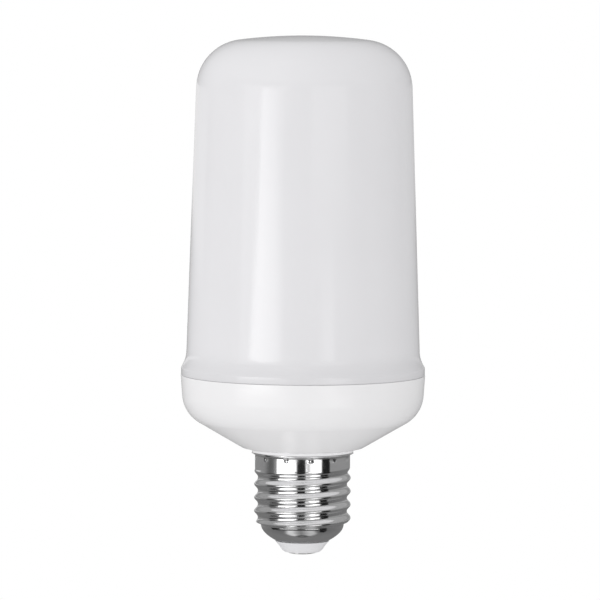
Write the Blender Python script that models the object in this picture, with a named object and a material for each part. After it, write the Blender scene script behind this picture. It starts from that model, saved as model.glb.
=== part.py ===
"""Flame effect LED lamp on an E27 screw cap, as the separate pieces it comes apart into.

Metres, +Z up the lamp's axis. The origin is the middle of the centre contact's flat face.
The outer pieces are turned outlines and a pressed screw shell; inside stand a twelve-sided LED
core and a mains driver board.
"""

from math import atan2, ceil, cos, hypot, pi, radians, sin, sqrt, tan

import bmesh
import bpy
from mathutils import Matrix, Vector

# Clearance between pieces that touch
SEAT = 0.0003

# Screw cap: a pressed shell with a knuckle thread, a plain band and a flared rim
THREAD_RADIUS = 0.01305
THREAD_DEPTH = 0.0010
THREAD_PITCH = 0.0254 / 7
THREAD_TURNS = 4.225
THREAD_START_TURN = 0.505
THREAD_LEAD_IN_TURNS = 0.25
THREAD_RUN_OUT_TURNS = 0.45
BAND_SET_IN = 0.0002
BAND_HEIGHT = 0.0035
RIM_FLARE = 0.0009
RIM_HEIGHT = 0.00055
SHELL_WALL = 0.00035
MOUTH_RADIUS = 0.0076
MOUTH_HEIGHT = 0.0039
HEEL_HEIGHT = 0.0041
HEEL_RADIUS = 0.0112
DENT_COUNT = 12
DENT_DEPTH = 0.00045
DENT_WIDTH = 0.0016
DENT_HEIGHT = 0.0014
DENT_DROP = 0.00105
DENT_TURN = radians(10)

# Cap nose: insulator and contact nail
NOSE_RADIUS = 0.0074
NOSE_WAIST_RADIUS = 0.0063
NOSE_WAIST_HEIGHT = 0.0024
NOSE_EDGE_RADIUS = 0.0056
NOSE_EDGE_HEIGHT = 0.0013
NOSE_FACE_RADIUS = 0.0048
NOSE_FACE_HEIGHT = 0.0006
NOSE_FLANGE_HEIGHT = 0.0012
NOSE_FLANGE_RISE = 0.0009
CONTACT_RADIUS = 0.0038
CONTACT_FLAT_RADIUS = 0.0017
CONTACT_HEAD = 0.0007
CONTACT_EDGE = 0.0003
CONTACT_SHANK_RADIUS = 0.0009
CONTACT_SHANK_RISE = 0.0012

# Housing: a bowl with a collar on the shell's rim and a neck inside the shell
RIM_RADIUS = 0.0330
HOUSING_WALL = 0.0016
CONE_ANGLE = radians(30.3)
CONE_ROUND = 0.0015
COLLAR_SET_IN = 0.0001
COLLAR_FOOT = 0.00275
COLLAR_HEIGHT = 0.00035
COLLAR_RISE = 0.00065
COLLAR_ROUND = 0.0003
BOWL_ROUND = 0.0090
BOWL_DRAFT = radians(4.0)
BOWL_HEIGHT = 0.0206
NECK_DEPTH = 0.0131
NECK_WALL = 0.0025
POST_RADIUS = 0.0029
POST_SHARE = 0.38
POST_COUNT = 3
POST_TURN = radians(30)
RIB_THICKNESS = 0.0012
RIB_DROP = 0.0030

# Diffuser: tapered cover with a flared skirt, a lip and a spigot inside the housing's rim
LIP_SET_IN = 0.0001
LIP_HEIGHT = 0.0018
LIP_ROUND = 0.0006
SHOULDER = 0.00135
SHOULDER_RISE = 0.0021
SHOULDER_ROUND = 0.0080
SIDE_TAPER = radians(1.9)
CORNER_ROUND = 0.0133
CROWN_RADIUS = 0.1350
DIFFUSER_HEIGHT = 0.0911
DIFFUSER_WALL = 0.0015
SPIGOT_DEPTH = 0.0031

# LED core: a twelve-sided carrier with a three-lobed flange
LED_COLUMNS = 12
LED_ROWS = 8
LED_COLUMN_PITCH = 0.0097
LED_ROW_PITCH = 0.0090
LED_LENGTH = 0.0035
LED_WIDTH = 0.0028
LED_HEIGHT = 0.0008
FLEX_THICKNESS = 0.0004
FLEX_SLIT = 0.0008
TAIL_BEND = 0.0010
TAIL_REACH = 0.0050
CORE_WALL = 0.0014
CORE_DROP = 0.0024
FLANGE_THICKNESS = 0.0020
FLANGE_MARGIN = 0.0018
EAR_MARGIN = 0.0032
EAR_SHARPNESS = 5
LEDGE_WIDTH = 0.0024
LEDGE_HEIGHT = 0.0012
TOP_BOARD_RECESS = 0.0006
TOP_LED_COUNT = 8
TOP_LED_CIRCLE = 0.0100

# Circuit boards and what they carry
BOARD_THICKNESS = 0.0012
BOARD_SLOT_DEPTH = 0.0009
BOARD_SLOT_FLOOR = 0.0016
BOARD_TONGUE_HALF_WIDTH = 0.0070
BOARD_TONGUE_DROP = 0.0060
BOARD_TOP_HALF_WIDTH = 0.0132
BOARD_TOP_GAP = 0.0050
MAINS_CAPACITOR_RADIUS = 0.0033
MAINS_CAPACITOR_LENGTH = 0.0115
OUTPUT_CAPACITOR_RADIUS = 0.0040
OUTPUT_CAPACITOR_LENGTH = 0.0090
SUPPLY_CAPACITOR_RADIUS = 0.0025
SUPPLY_CAPACITOR_LENGTH = 0.0070
CAPACITOR_GROOVE = 0.0003
CHOKE_RADIUS = 0.0040
CHOKE_LENGTH = 0.0080
CHOKE_FLANGE = 0.0011
CHOKE_CORE_RADIUS = 0.0018
CHOKE_WINDING_RADIUS = 0.0034
PART_SPACING = 0.0008
BRIDGE_SIZE = (0.0047, 0.0016, 0.0039)
DRIVER_CHIP_SIZE = (0.0049, 0.0015, 0.0039)
DIODE_SIZE = (0.0043, 0.0022, 0.0026)
MICROCONTROLLER_SIZE = (0.0100, 0.0040, 0.0015)
TRANSISTOR_SIZE = (0.0029, 0.0013, 0.0010)
TRANSISTOR_COLUMN = 0.0085
TRANSISTOR_SPACING = 0.0030
RESISTOR_RADIUS = 0.0013
RESISTOR_END_RADIUS = 0.0009
RESISTOR_LENGTH = 0.0052
PACKAGE_BEVEL = 0.0002
WIRE_RADIUS = 0.0005
LEAD_OFFSET = 0.0030

# Screws that hold the core to the posts
SCREW_HEAD_RADIUS = 0.0022
SCREW_HEAD_TOP_RADIUS = 0.0015
SCREW_HEAD_HEIGHT = 0.0015
SCREW_SHANK_RADIUS = 0.0010
SCREW_LENGTH = 0.0070
SCREW_POINT = 0.0012

# Roundness
WIDE_SEGMENTS = 36
CAP_SEGMENTS = 24
SMALL_SEGMENTS = 12
THREAD_ROWS_PER_TURN = 5
HEEL_ROWS = 5
RIM_ROWS = 3
LOBE_SEGMENTS = 16
EDGE_STEPS = 2
SHOULDER_STEPS = 3
BOWL_STEPS = 6
CORNER_STEPS = 7
CROWN_STEPS = 4
CURVE_STEPS = 3

# Heights up the axis
HEEL_TOP = MOUTH_HEIGHT + HEEL_HEIGHT
THREAD_TOP = HEEL_TOP + THREAD_TURNS * THREAD_PITCH
RIM_LOW = THREAD_TOP + BAND_HEIGHT
RIM_TOP = RIM_LOW + RIM_HEIGHT
DENT_LEVEL = RIM_TOP - DENT_DROP
COLLAR_LOW = RIM_TOP + SHELL_WALL + SEAT
SEAM = COLLAR_LOW + BOWL_HEIGHT
NECK_LOW = COLLAR_LOW - NECK_DEPTH
CORE_LOW = SEAM - CORE_DROP
CONE_START = COLLAR_LOW + COLLAR_HEIGHT + COLLAR_RISE
BOWL_FLOOR = CONE_START + HOUSING_WALL
APEX = SEAM + SEAT + DIFFUSER_HEIGHT
FLEX_LOW = CORE_LOW + FLANGE_THICKNESS + SEAT
FLEX_HIGH = FLEX_LOW + LED_ROWS * LED_ROW_PITCH
CONTROL_BOARD_TOP = CORE_LOW + BOARD_THICKNESS
TOP_BOARD_LOW = FLEX_HIGH + SEAT
CORE_TOP = TOP_BOARD_LOW + BOARD_THICKNESS + TOP_BOARD_RECESS
BOARD_TOP = CORE_LOW - BOARD_TOP_GAP
SLOT_FLOOR = NECK_LOW + BOARD_SLOT_FLOOR

# Radii worked out from those above
ROOT_RADIUS = THREAD_RADIUS - THREAD_DEPTH
BAND_RADIUS = THREAD_RADIUS - BAND_SET_IN
SKIRT_RADIUS = ROOT_RADIUS - SHELL_WALL - SEAT
NECK_RADIUS = BAND_RADIUS - SHELL_WALL - SEAT
NECK_BORE = SKIRT_RADIUS - NECK_WALL
COLLAR_RADIUS = BAND_RADIUS + RIM_FLARE - COLLAR_SET_IN
CONE_START_RADIUS = COLLAR_RADIUS + COLLAR_FOOT
RIM_BORE = RIM_RADIUS - HOUSING_WALL
SIDE_RADIUS = RIM_RADIUS - LIP_SET_IN - SHOULDER
COVER_BORE = SIDE_RADIUS - DIFFUSER_WALL
FLEX_APOTHEM = LED_COLUMN_PITCH / 2 / tan(pi / LED_COLUMNS)
CORE_APOTHEM = FLEX_APOTHEM - FLEX_THICKNESS - SEAT
CORE_BORE = CORE_APOTHEM - CORE_WALL
ROUND_BOARD_RADIUS = CORE_BORE - SEAT
LEDGE_RADIUS = CORE_BORE - LEDGE_WIDTH
CORNER_STRETCH = 1 / cos(pi / LED_COLUMNS)
FLEX_CORNER = FLEX_APOTHEM * CORNER_STRETCH
POST_CIRCLE = FLEX_CORNER + POST_SHARE * (COVER_BORE - FLEX_CORNER)
COLUMN_STEP = 2 * pi / LED_COLUMNS
TAIL_COLUMN = 1
TAIL_ANGLE = pi / 2
BOARD_FACE = BOARD_THICKNESS / 2 + SEAT

MERGE = 1e-6
OVERLAP = 0.0002
LONG_CUT = 0.0020
SHARP_ANGLE = radians(32)


def clear_scene():
    """Empty the scene."""
    for thing in list(bpy.data.objects):
        bpy.data.objects.remove(thing, do_unlink=True)


def finish_material(name, colour, roughness, metallic=0.0):
    """A Principled material in one colour."""
    made = bpy.data.materials.new(name)
    made.use_nodes = True
    shader = made.node_tree.nodes["Principled BSDF"]
    shader.inputs["Base Color"].default_value = (*colour, 1.0)
    shader.inputs["Roughness"].default_value = roughness
    shader.inputs["Metallic"].default_value = metallic
    return made


def add_object(name, mesh_data, finish=None):
    """A smooth-shaded object from a bmesh, or a hidden wire helper if it has no finish."""
    mesh = bpy.data.meshes.new(name)
    mesh_data.to_mesh(mesh)
    mesh_data.free()
    made = bpy.data.objects.new(name, mesh)
    bpy.context.collection.objects.link(made)
    if finish is None:
        made.hide_render = True
        made.display_type = "WIRE"
    else:
        mesh.materials.append(finish)
        mesh.shade_smooth()
        mesh.set_sharp_from_angle(angle=SHARP_ANGLE)
    return made


def combine(target, other, operation):
    """Cut another mesh from the target or join it on, as a live Boolean."""
    step = target.modifiers.new(other.name, "BOOLEAN")
    step.operation = operation
    step.solver = "EXACT"
    step.object = other


def turned_mesh(outline, segments, turn=0.0):
    """Spin an outline of (radius, height) points about the Z axis.

    An outline that starts and ends on the axis stays open there; any other is closed.
    """
    made = bmesh.new()
    points = [made.verts.new((radius, 0.0, height)) for radius, height in outline]
    edges = [made.edges.new(pair) for pair in zip(points, points[1:])]
    if outline[0][0] > 0.0 or outline[-1][0] > 0.0:
        edges.append(made.edges.new((points[-1], points[0])))
    bmesh.ops.rotate(made, verts=points, cent=(0, 0, 0), matrix=Matrix.Rotation(turn, 3, "Z"))
    bmesh.ops.spin(
        made,
        geom=points + edges,
        cent=(0, 0, 0),
        axis=(0, 0, 1),
        angle=2 * pi,
        steps=segments,
        use_merge=True,
    )
    bmesh.ops.remove_doubles(made, verts=made.verts, dist=MERGE)
    bmesh.ops.recalc_face_normals(made, faces=made.faces)
    return made


def rod_mesh(radius, low, high, centre=(0.0, 0.0), segments=SMALL_SEGMENTS):
    """An upright round rod between two heights."""
    outline = [(0.0, low), (radius, low), (radius, high), (0.0, high)]
    made = turned_mesh(outline, segments, pi / segments)
    bmesh.ops.translate(made, verts=made.verts, vec=(*centre, 0.0))
    return made


def block_mesh(size, centre, bevel=0.0):
    """A block with its edges bevelled where it is a moulded package."""
    made = bmesh.new()
    bmesh.ops.create_cube(made, size=1.0)
    bmesh.ops.scale(made, verts=made.verts, vec=size)
    if bevel:
        upright = [e for e in made.edges if abs(e.verts[0].co.z - e.verts[1].co.z) > MERGE]
        bmesh.ops.bevel(made, geom=upright, offset=bevel, segments=1, affect="EDGES")
    bmesh.ops.translate(made, verts=made.verts, vec=centre)
    return made


def prism_mesh(outline, low, high):
    """Extrude a flat outline of (x, y) points between two heights."""
    made = bmesh.new()
    face = made.faces.new([made.verts.new((x, y, low)) for x, y in outline])
    raised = bmesh.ops.extrude_face_region(made, geom=[face])["geom"]
    moved = [item for item in raised if isinstance(item, bmesh.types.BMVert)]
    bmesh.ops.translate(made, verts=moved, vec=(0, 0, high - low))
    bmesh.ops.recalc_face_normals(made, faces=made.faces)
    return made


def merged(meshes):
    """One bmesh that holds several closed ones side by side."""
    made = bmesh.new()
    for item in meshes:
        holder = bpy.data.meshes.new("holder")
        item.to_mesh(holder)
        item.free()
        made.from_mesh(holder)
        bpy.data.meshes.remove(holder)
    return made


def rotated(mesh_data, angle):
    """Turn a bmesh about the lamp's axis."""
    bmesh.ops.rotate(
        mesh_data, verts=mesh_data.verts, cent=(0, 0, 0), matrix=Matrix.Rotation(angle, 3, "Z")
    )
    return mesh_data


def arc(centre, radius, start, end, steps):
    """Points of (radius, height) along an arc, from one angle to another."""
    return [
        (
            centre[0] + radius * cos(start + (end - start) * step / steps),
            centre[1] + radius * sin(start + (end - start) * step / steps),
        )
        for step in range(steps + 1)
    ]


def rounded(corners):
    """An outline from (radius, height, round radius, steps) corners, each one filleted.

    A fillet is never wider than the shorter of the two sides that it joins.
    """
    points = []
    count = len(corners)
    for index, (x, y, wanted_radius, steps) in enumerate(corners):
        here = Vector((x, y))
        if not wanted_radius:
            points.append((x, y))
            continue
        before = Vector(corners[index - 1][:2]) - here
        after = Vector(corners[(index + 1) % count][:2]) - here
        half = before.angle(after) / 2
        round_radius = min(wanted_radius, min(before.length, after.length) * tan(half))
        before.normalize()
        after.normalize()
        centre = here + (before + after).normalized() * round_radius / sin(half)
        first = here + before * round_radius / tan(half) - centre
        last = here + after * round_radius / tan(half) - centre
        start = atan2(first.y, first.x)
        sweep = (atan2(last.y, last.x) - start + pi) % (2 * pi) - pi
        points += arc(centre, round_radius, start, start + sweep, steps)
    return points


def smooth_step(low, high, value):
    """Rise smoothly from 0 at low to 1 at high."""
    share = min(max((value - low) / (high - low), 0.0), 1.0)
    return share * share * (3.0 - 2.0 * share)


def heel_radius(height):
    """Outer radius of the rounded heel between the shell's mouth and its thread."""
    drop = min(max((HEEL_TOP - height) / HEEL_HEIGHT, 0.0), 1.0)
    return MOUTH_RADIUS + (HEEL_RADIUS - MOUTH_RADIUS) * (1.0 - drop * drop)


def heel_seat_radius(height):
    """Radius at which a piece inside the heel keeps the seat clearance to its inner face."""
    drop = min(max((HEEL_TOP - height) / HEEL_HEIGHT, 0.0), 1.0)
    slope = 2.0 * (HEEL_RADIUS - MOUTH_RADIUS) * drop / HEEL_HEIGHT
    return heel_radius(height) - (SHELL_WALL + SEAT) * hypot(1.0, slope)


def shell_radius(angle, height):
    """Outer radius of the pressed shell: heel, right-hand thread, plain band and flared rim."""
    turns = (height - HEEL_TOP) / THREAD_PITCH - angle / (2 * pi) - THREAD_START_TURN
    crest = 0.5 + 0.5 * cos(2 * pi * turns)
    lead_in = smooth_step(HEEL_TOP, HEEL_TOP + THREAD_LEAD_IN_TURNS * THREAD_PITCH, height)
    run_out = THREAD_RUN_OUT_TURNS * THREAD_PITCH
    band = smooth_step(THREAD_TOP - run_out, THREAD_TOP + SEAT, height)
    root = heel_radius(height) + (ROOT_RADIUS - HEEL_RADIUS) * lead_in
    lift = THREAD_DEPTH * crest * lead_in * (1.0 - band) + (THREAD_DEPTH - BAND_SET_IN) * band
    flare = RIM_FLARE * (max(height - RIM_LOW, 0.0) / RIM_HEIGHT) ** 2
    return root + lift + flare


def shell_heights():
    """Heights of the shell's rings, with three through the dents."""
    thread_rows = ceil(THREAD_TURNS * THREAD_ROWS_PER_TURN)
    heel = [MOUTH_HEIGHT + HEEL_HEIGHT * row / HEEL_ROWS for row in range(HEEL_ROWS)]
    thread = [
        HEEL_TOP + (THREAD_TOP + SEAT - HEEL_TOP) * row / thread_rows
        for row in range(thread_rows + 1)
    ]
    dents = [DENT_LEVEL + DENT_HEIGHT / 2 * side for side in (-1, 0, 1)]
    rim = [RIM_LOW + RIM_HEIGHT * row / RIM_ROWS for row in range(RIM_ROWS + 1)]
    rim = [height for height in rim if height > dents[-1] + MERGE]
    return heel + thread + dents + rim


def shell_columns():
    """Angles of the shell's columns, each with its share of a dent's depth."""
    sector = 2 * pi / DENT_COUNT
    half_dent = DENT_WIDTH / 2 / BAND_RADIUS
    columns = []
    for dent in range(DENT_COUNT):
        middle = DENT_TURN + dent * sector
        columns.append((middle - half_dent, 0.0))
        columns.append((middle, 1.0))
        columns.append((middle + half_dent, 0.0))
        columns.append((middle + sector / 2, 0.0))
    return columns


def make_cap_shell(finish):
    """The screw shell: one pressed sheet, thickened inwards."""
    made = bmesh.new()
    rings = []
    for height in shell_heights():
        ring = []
        for angle, dent_share in shell_columns():
            radius = shell_radius(angle, height)
            if abs(height - DENT_LEVEL) < MERGE:
                radius -= DENT_DEPTH * dent_share
            ring.append(made.verts.new((radius * cos(angle), radius * sin(angle), height)))
        rings.append(ring)
    for lower, upper in zip(rings, rings[1:]):
        for index in range(len(lower)):
            after = (index + 1) % len(lower)
            made.faces.new((lower[index], lower[after], upper[after], upper[index]))
    shell = add_object("cap_shell", made, finish)
    sheet = shell.modifiers.new("sheet", "SOLIDIFY")
    sheet.thickness = SHELL_WALL
    sheet.offset = -1.0
    sheet.use_even_offset = True
    return shell


def make_cap_nose(insulator_finish, contact_finish):
    """The insulator moulded into the shell's mouth, and the contact nail through it."""
    nose_top = MOUTH_HEIGHT - SEAT
    waist = heel_seat_radius(MOUTH_HEIGHT)
    flange_low = MOUTH_HEIGHT + NOSE_FLANGE_RISE
    flange_top = flange_low + NOSE_FLANGE_HEIGHT
    recess = CONTACT_HEAD + SEAT
    hole = CONTACT_SHANK_RADIUS + SEAT
    outline = [
        (hole, recess),
        (CONTACT_RADIUS + SEAT, recess),
        (CONTACT_RADIUS + SEAT, NOSE_FACE_HEIGHT),
        (NOSE_FACE_RADIUS, NOSE_FACE_HEIGHT),
        (NOSE_EDGE_RADIUS, NOSE_EDGE_HEIGHT),
        (NOSE_WAIST_RADIUS, NOSE_WAIST_HEIGHT),
        (NOSE_RADIUS, nose_top),
        (waist, nose_top),
        (waist, flange_low - SEAT),
        (heel_seat_radius(flange_low), flange_low),
        (heel_seat_radius(flange_low), flange_top),
        (hole, flange_top),
    ]
    add_object("cap_insulator", turned_mesh(outline, CAP_SEGMENTS), insulator_finish)
    shank_top = flange_top + CONTACT_SHANK_RISE
    nail = [
        (0.0, 0.0),
        (CONTACT_FLAT_RADIUS, 0.0),
        ((CONTACT_FLAT_RADIUS + CONTACT_RADIUS) / 2, CONTACT_EDGE / 3),
        (CONTACT_RADIUS, CONTACT_EDGE),
        (CONTACT_RADIUS, CONTACT_HEAD),
        (CONTACT_SHANK_RADIUS, CONTACT_HEAD),
        (CONTACT_SHANK_RADIUS, shank_top),
        (0.0, shank_top),
    ]
    add_object("centre_contact", turned_mesh(nail, CAP_SEGMENTS), contact_finish)
    return shank_top


def bowl_height(radius):
    """Height of the bowl's inner face at a radius: a flat floor, then the cone."""
    outer = CONE_START + (radius - CONE_START_RADIUS) * tan(CONE_ANGLE)
    return max(outer + HOUSING_WALL / cos(CONE_ANGLE), BOWL_FLOOR)


def bowl_corner(inset):
    """Where the bowl's leaning side meets its cone, on a face this far inside the outer one."""
    side = RIM_RADIUS - inset / cos(BOWL_DRAFT)
    low = CONE_START + inset / cos(CONE_ANGLE)
    lean = tan(BOWL_DRAFT)
    rise = tan(CONE_ANGLE)
    height = (low + (side - SEAM * lean - CONE_START_RADIUS) * rise) / (1.0 - lean * rise)
    return side - (SEAM - height) * lean, height


def post_places():
    """Angle and (x, y) of each screw post."""
    for index in range(POST_COUNT):
        angle = POST_TURN + index * 2 * pi / POST_COUNT
        yield angle, (POST_CIRCLE * cos(angle), POST_CIRCLE * sin(angle))


def make_housing(finish):
    """The bowl, its collar and neck, with posts, ribs and guides for the driver board."""
    step_low = THREAD_TOP + SEAT
    groove_half = DENT_HEIGHT / 2
    groove_radius = NECK_RADIUS - DENT_DEPTH
    floor_lift = BOWL_FLOOR - HOUSING_WALL / cos(CONE_ANGLE) - CONE_START
    floor_radius = CONE_START_RADIUS + floor_lift / tan(CONE_ANGLE)
    outer = rounded(
        [
            (0.0, NECK_LOW, 0, 0),
            (SKIRT_RADIUS, NECK_LOW, 0, 0),
            (SKIRT_RADIUS, step_low, 0, 0),
            (NECK_RADIUS, step_low + NECK_RADIUS - SKIRT_RADIUS, 0, 0),
            (NECK_RADIUS, DENT_LEVEL - groove_half, 0, 0),
            (groove_radius, DENT_LEVEL - groove_half / 3, 0, 0),
            (groove_radius, DENT_LEVEL + groove_half / 3, 0, 0),
            (NECK_RADIUS, DENT_LEVEL + groove_half, 0, 0),
            (NECK_RADIUS, COLLAR_LOW, 0, 0),
            (COLLAR_RADIUS, COLLAR_LOW, 0, 0),
            (COLLAR_RADIUS, COLLAR_LOW + COLLAR_HEIGHT, COLLAR_ROUND, EDGE_STEPS),
            (CONE_START_RADIUS, CONE_START, CONE_ROUND, EDGE_STEPS),
            (*bowl_corner(0.0), BOWL_ROUND, BOWL_STEPS),
            (RIM_RADIUS, SEAM, 0, 0),
            (0.0, SEAM, 0, 0),
        ]
    )
    housing = add_object("housing", turned_mesh(outer, WIDE_SEGMENTS), finish)
    inner = rounded(
        [
            (0.0, NECK_LOW - LONG_CUT, 0, 0),
            (NECK_BORE, NECK_LOW - LONG_CUT, 0, 0),
            (NECK_BORE, BOWL_FLOOR, 0, 0),
            (floor_radius, BOWL_FLOOR, 0, 0),
            (*bowl_corner(HOUSING_WALL), BOWL_ROUND - HOUSING_WALL, BOWL_STEPS - 2),
            (RIM_BORE, SEAM - SPIGOT_DEPTH, 0, 0),
            (RIM_BORE, SEAM + LONG_CUT, 0, 0),
            (0.0, SEAM + LONG_CUT, 0, 0),
        ]
    )
    hollow = add_object("housing_hollow", turned_mesh(inner, WIDE_SEGMENTS))
    post_top = CORE_LOW - SEAT
    post_foot = CONE_START
    hole = SCREW_SHANK_RADIUS + SEAT
    hole_floor = post_top - SCREW_LENGTH - SEAT
    post = [
        (0.0, post_foot),
        (POST_RADIUS, post_foot),
        (POST_RADIUS, post_top),
        (hole, post_top),
        (hole, hole_floor),
        (0.0, hole_floor),
    ]
    posts, ribs = [], []
    for angle, centre in post_places():
        form = turned_mesh(post, SMALL_SEGMENTS, pi / SMALL_SEGMENTS)
        bmesh.ops.translate(form, verts=form.verts, vec=(*centre, 0.0))
        posts.append(form)
        rib_start = POST_CIRCLE + (hole + POST_RADIUS) / 2
        rib_length = RIM_RADIUS - rib_start
        rib_high = post_top - RIB_DROP
        rib = block_mesh(
            (rib_length, RIB_THICKNESS, rib_high - post_foot),
            (rib_start + rib_length / 2, 0.0, (rib_high + post_foot) / 2),
        )
        ribs.append(rotated(rib, angle))
    combine(hollow, add_object("rib_forms", merged(ribs)), "DIFFERENCE")
    combine(hollow, add_object("post_forms", merged(posts)), "DIFFERENCE")
    combine(housing, hollow, "DIFFERENCE")
    slot_reach = NECK_BORE + BOARD_SLOT_DEPTH
    slot_top = bowl_height(slot_reach) + LONG_CUT
    slot = block_mesh(
        (2 * slot_reach, BOARD_THICKNESS + 2 * SEAT, slot_top - SLOT_FLOOR),
        (0.0, 0.0, (slot_top + SLOT_FLOOR) / 2),
    )
    combine(housing, add_object("board_slots", slot), "DIFFERENCE")
    return housing


def crown_outline(side, apex, crown_radius, corner_radius, corner_steps, crown_steps):
    """The tapered side's top: a corner arc that runs into a shallow crown on the axis."""
    sphere = Vector((0.0, apex - crown_radius))
    along = Vector((-sin(SIDE_TAPER), cos(SIDE_TAPER)))
    inward = Vector((-cos(SIDE_TAPER), -sin(SIDE_TAPER)))
    start = Vector(side) + inward * corner_radius - sphere
    reach = start.dot(along)
    distance = crown_radius - corner_radius
    run = -reach + sqrt(reach * reach - start.length_squared + distance * distance)
    centre = Vector(side) + inward * corner_radius + along * run
    tilt = atan2(centre.y - sphere.y, centre.x)
    corner = arc(centre, corner_radius, SIDE_TAPER, tilt, corner_steps)
    crown = arc(sphere, crown_radius, tilt, pi / 2, crown_steps)
    return corner + crown[1:-1] + [(0.0, apex)]


def make_diffuser(finish):
    """The opal cover, one moulded shell open at the bottom."""
    lip_low = SEAM + SEAT
    lip_radius = RIM_RADIUS - LIP_SET_IN
    lip_top = lip_low + LIP_HEIGHT
    shoulder_top = lip_top + SHOULDER_RISE
    spigot_radius = RIM_BORE - SEAT
    spigot_low = lip_low - SPIGOT_DEPTH
    side_high = shoulder_top + SHOULDER_ROUND
    side_top = SIDE_RADIUS - (side_high - shoulder_top) * tan(SIDE_TAPER)
    skirt = rounded(
        [
            (spigot_radius, spigot_low, 0, 0),
            (spigot_radius, lip_low, 0, 0),
            (lip_radius, lip_low, 0, 0),
            (lip_radius, lip_top, LIP_ROUND, EDGE_STEPS),
            (SIDE_RADIUS, shoulder_top, SHOULDER_ROUND, SHOULDER_STEPS),
            (side_top, side_high, 0, 0),
        ]
    )
    outer = crown_outline(
        (SIDE_RADIUS, shoulder_top), APEX, CROWN_RADIUS, CORNER_ROUND, CORNER_STEPS, CROWN_STEPS
    )
    inner = crown_outline(
        (COVER_BORE, shoulder_top),
        APEX - DIFFUSER_WALL,
        CROWN_RADIUS - DIFFUSER_WALL,
        CORNER_ROUND - DIFFUSER_WALL,
        CORNER_STEPS - 2,
        CROWN_STEPS - 1,
    )
    foot = [(COVER_BORE, shoulder_top), (COVER_BORE, spigot_low)]
    outline = inner[::-1] + foot + skirt[:-1] + outer
    return add_object("diffuser", turned_mesh(outline, WIDE_SEGMENTS), finish)


def make_core(finish):
    """The twelve-sided LED carrier: tube, board ledges and three-lobed flange."""
    outer = CORE_APOTHEM * CORNER_STRETCH
    bore = CORE_BORE * CORNER_STRETCH
    low_ledge = CONTROL_BOARD_TOP + SEAT
    high_ledge = TOP_BOARD_LOW - SEAT
    outline = [
        (outer, CORE_LOW),
        (outer, CORE_TOP),
        (bore, CORE_TOP),
        (bore, high_ledge),
        (LEDGE_RADIUS, high_ledge),
        (LEDGE_RADIUS, high_ledge - LEDGE_HEIGHT),
        (bore, high_ledge - LEDGE_HEIGHT - LEDGE_WIDTH),
        (bore, low_ledge + LEDGE_HEIGHT),
        (LEDGE_RADIUS, low_ledge + LEDGE_HEIGHT),
        (LEDGE_RADIUS, low_ledge),
        (bore, low_ledge),
        (bore, CORE_LOW),
    ]
    core = add_object(
        "led_core_tube", turned_mesh(outline, LED_COLUMNS, COLUMN_STEP / 2), finish
    )
    ring = CORE_APOTHEM + FLANGE_MARGIN
    ear = POST_CIRCLE + EAR_MARGIN - ring
    points = LOBE_SEGMENTS * POST_COUNT
    lobes = []
    for step in range(points):
        angle = 2 * pi * step / points
        swell = (0.5 + 0.5 * cos(POST_COUNT * (angle - POST_TURN))) ** EAR_SHARPNESS
        lobes.append(((ring + ear * swell) * cos(angle), (ring + ear * swell) * sin(angle)))
    flange = add_object("flange_form", prism_mesh(lobes, CORE_LOW, CORE_LOW + FLANGE_THICKNESS))
    wall_middle = (bore + CORE_APOTHEM) / 2
    opening = rod_mesh(
        wall_middle,
        CORE_LOW - LONG_CUT,
        CORE_LOW + FLANGE_THICKNESS + LONG_CUT,
        segments=WIDE_SEGMENTS,
    )
    combine(flange, add_object("flange_opening", opening), "DIFFERENCE")
    combine(core, flange, "UNION")
    cuts = []
    for _, centre in post_places():
        cuts.append(rod_mesh(SCREW_SHANK_RADIUS + SEAT, CORE_LOW - LONG_CUT, FLEX_LOW, centre))
    slot_width = LED_COLUMN_PITCH + 2 * SEAT
    slot_depth = FLEX_THICKNESS + 2 * SEAT
    cuts.append(
        block_mesh(
            (slot_width, slot_depth, FLEX_LOW - CORE_LOW + 2 * LONG_CUT),
            (0.0, CORE_APOTHEM + slot_depth / 2, (FLEX_LOW + CORE_LOW) / 2),
        )
    )
    combine(core, add_object("flange_cuts", merged(cuts)), "DIFFERENCE")
    return core


def facet_line(index, radius):
    """Where the edge between two of the flex board's columns stands, in plan."""
    first_column = TAIL_ANGLE - TAIL_COLUMN * COLUMN_STEP
    angle = first_column + (index - 0.5) * COLUMN_STEP
    place = Vector((cos(angle), sin(angle))) * radius * CORNER_STRETCH
    if 0 < index < LED_COLUMNS:
        return place
    neighbour_angle = angle + (COLUMN_STEP if index == 0 else -COLUMN_STEP)
    neighbour = Vector((cos(neighbour_angle), sin(neighbour_angle))) * radius * CORNER_STRETCH
    return place + (neighbour - place).normalized() * FLEX_SLIT / 2


def raise_leds(made, cells):
    """Stand an LED package on each cell of a flat board."""
    bmesh.ops.inset_individual(made, faces=cells, thickness=LED_WIDTH / 4)
    for cell in cells:
        middle = cell.calc_center_median()
        across = Vector((0, 0, 1)).cross(cell.normal).normalized()
        for corner in cell.verts:
            offset = corner.co - middle
            side = LED_LENGTH / 2 if offset.dot(across) > 0 else -LED_LENGTH / 2
            level = LED_WIDTH / 2 if offset.z > 0 else -LED_WIDTH / 2
            corner.co = middle + across * side + Vector((0, 0, level))
    raised = bmesh.ops.extrude_discrete_faces(made, faces=cells)["faces"]
    for cell in raised:
        bmesh.ops.translate(made, verts=cell.verts, vec=cell.normal * LED_HEIGHT)


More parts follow.
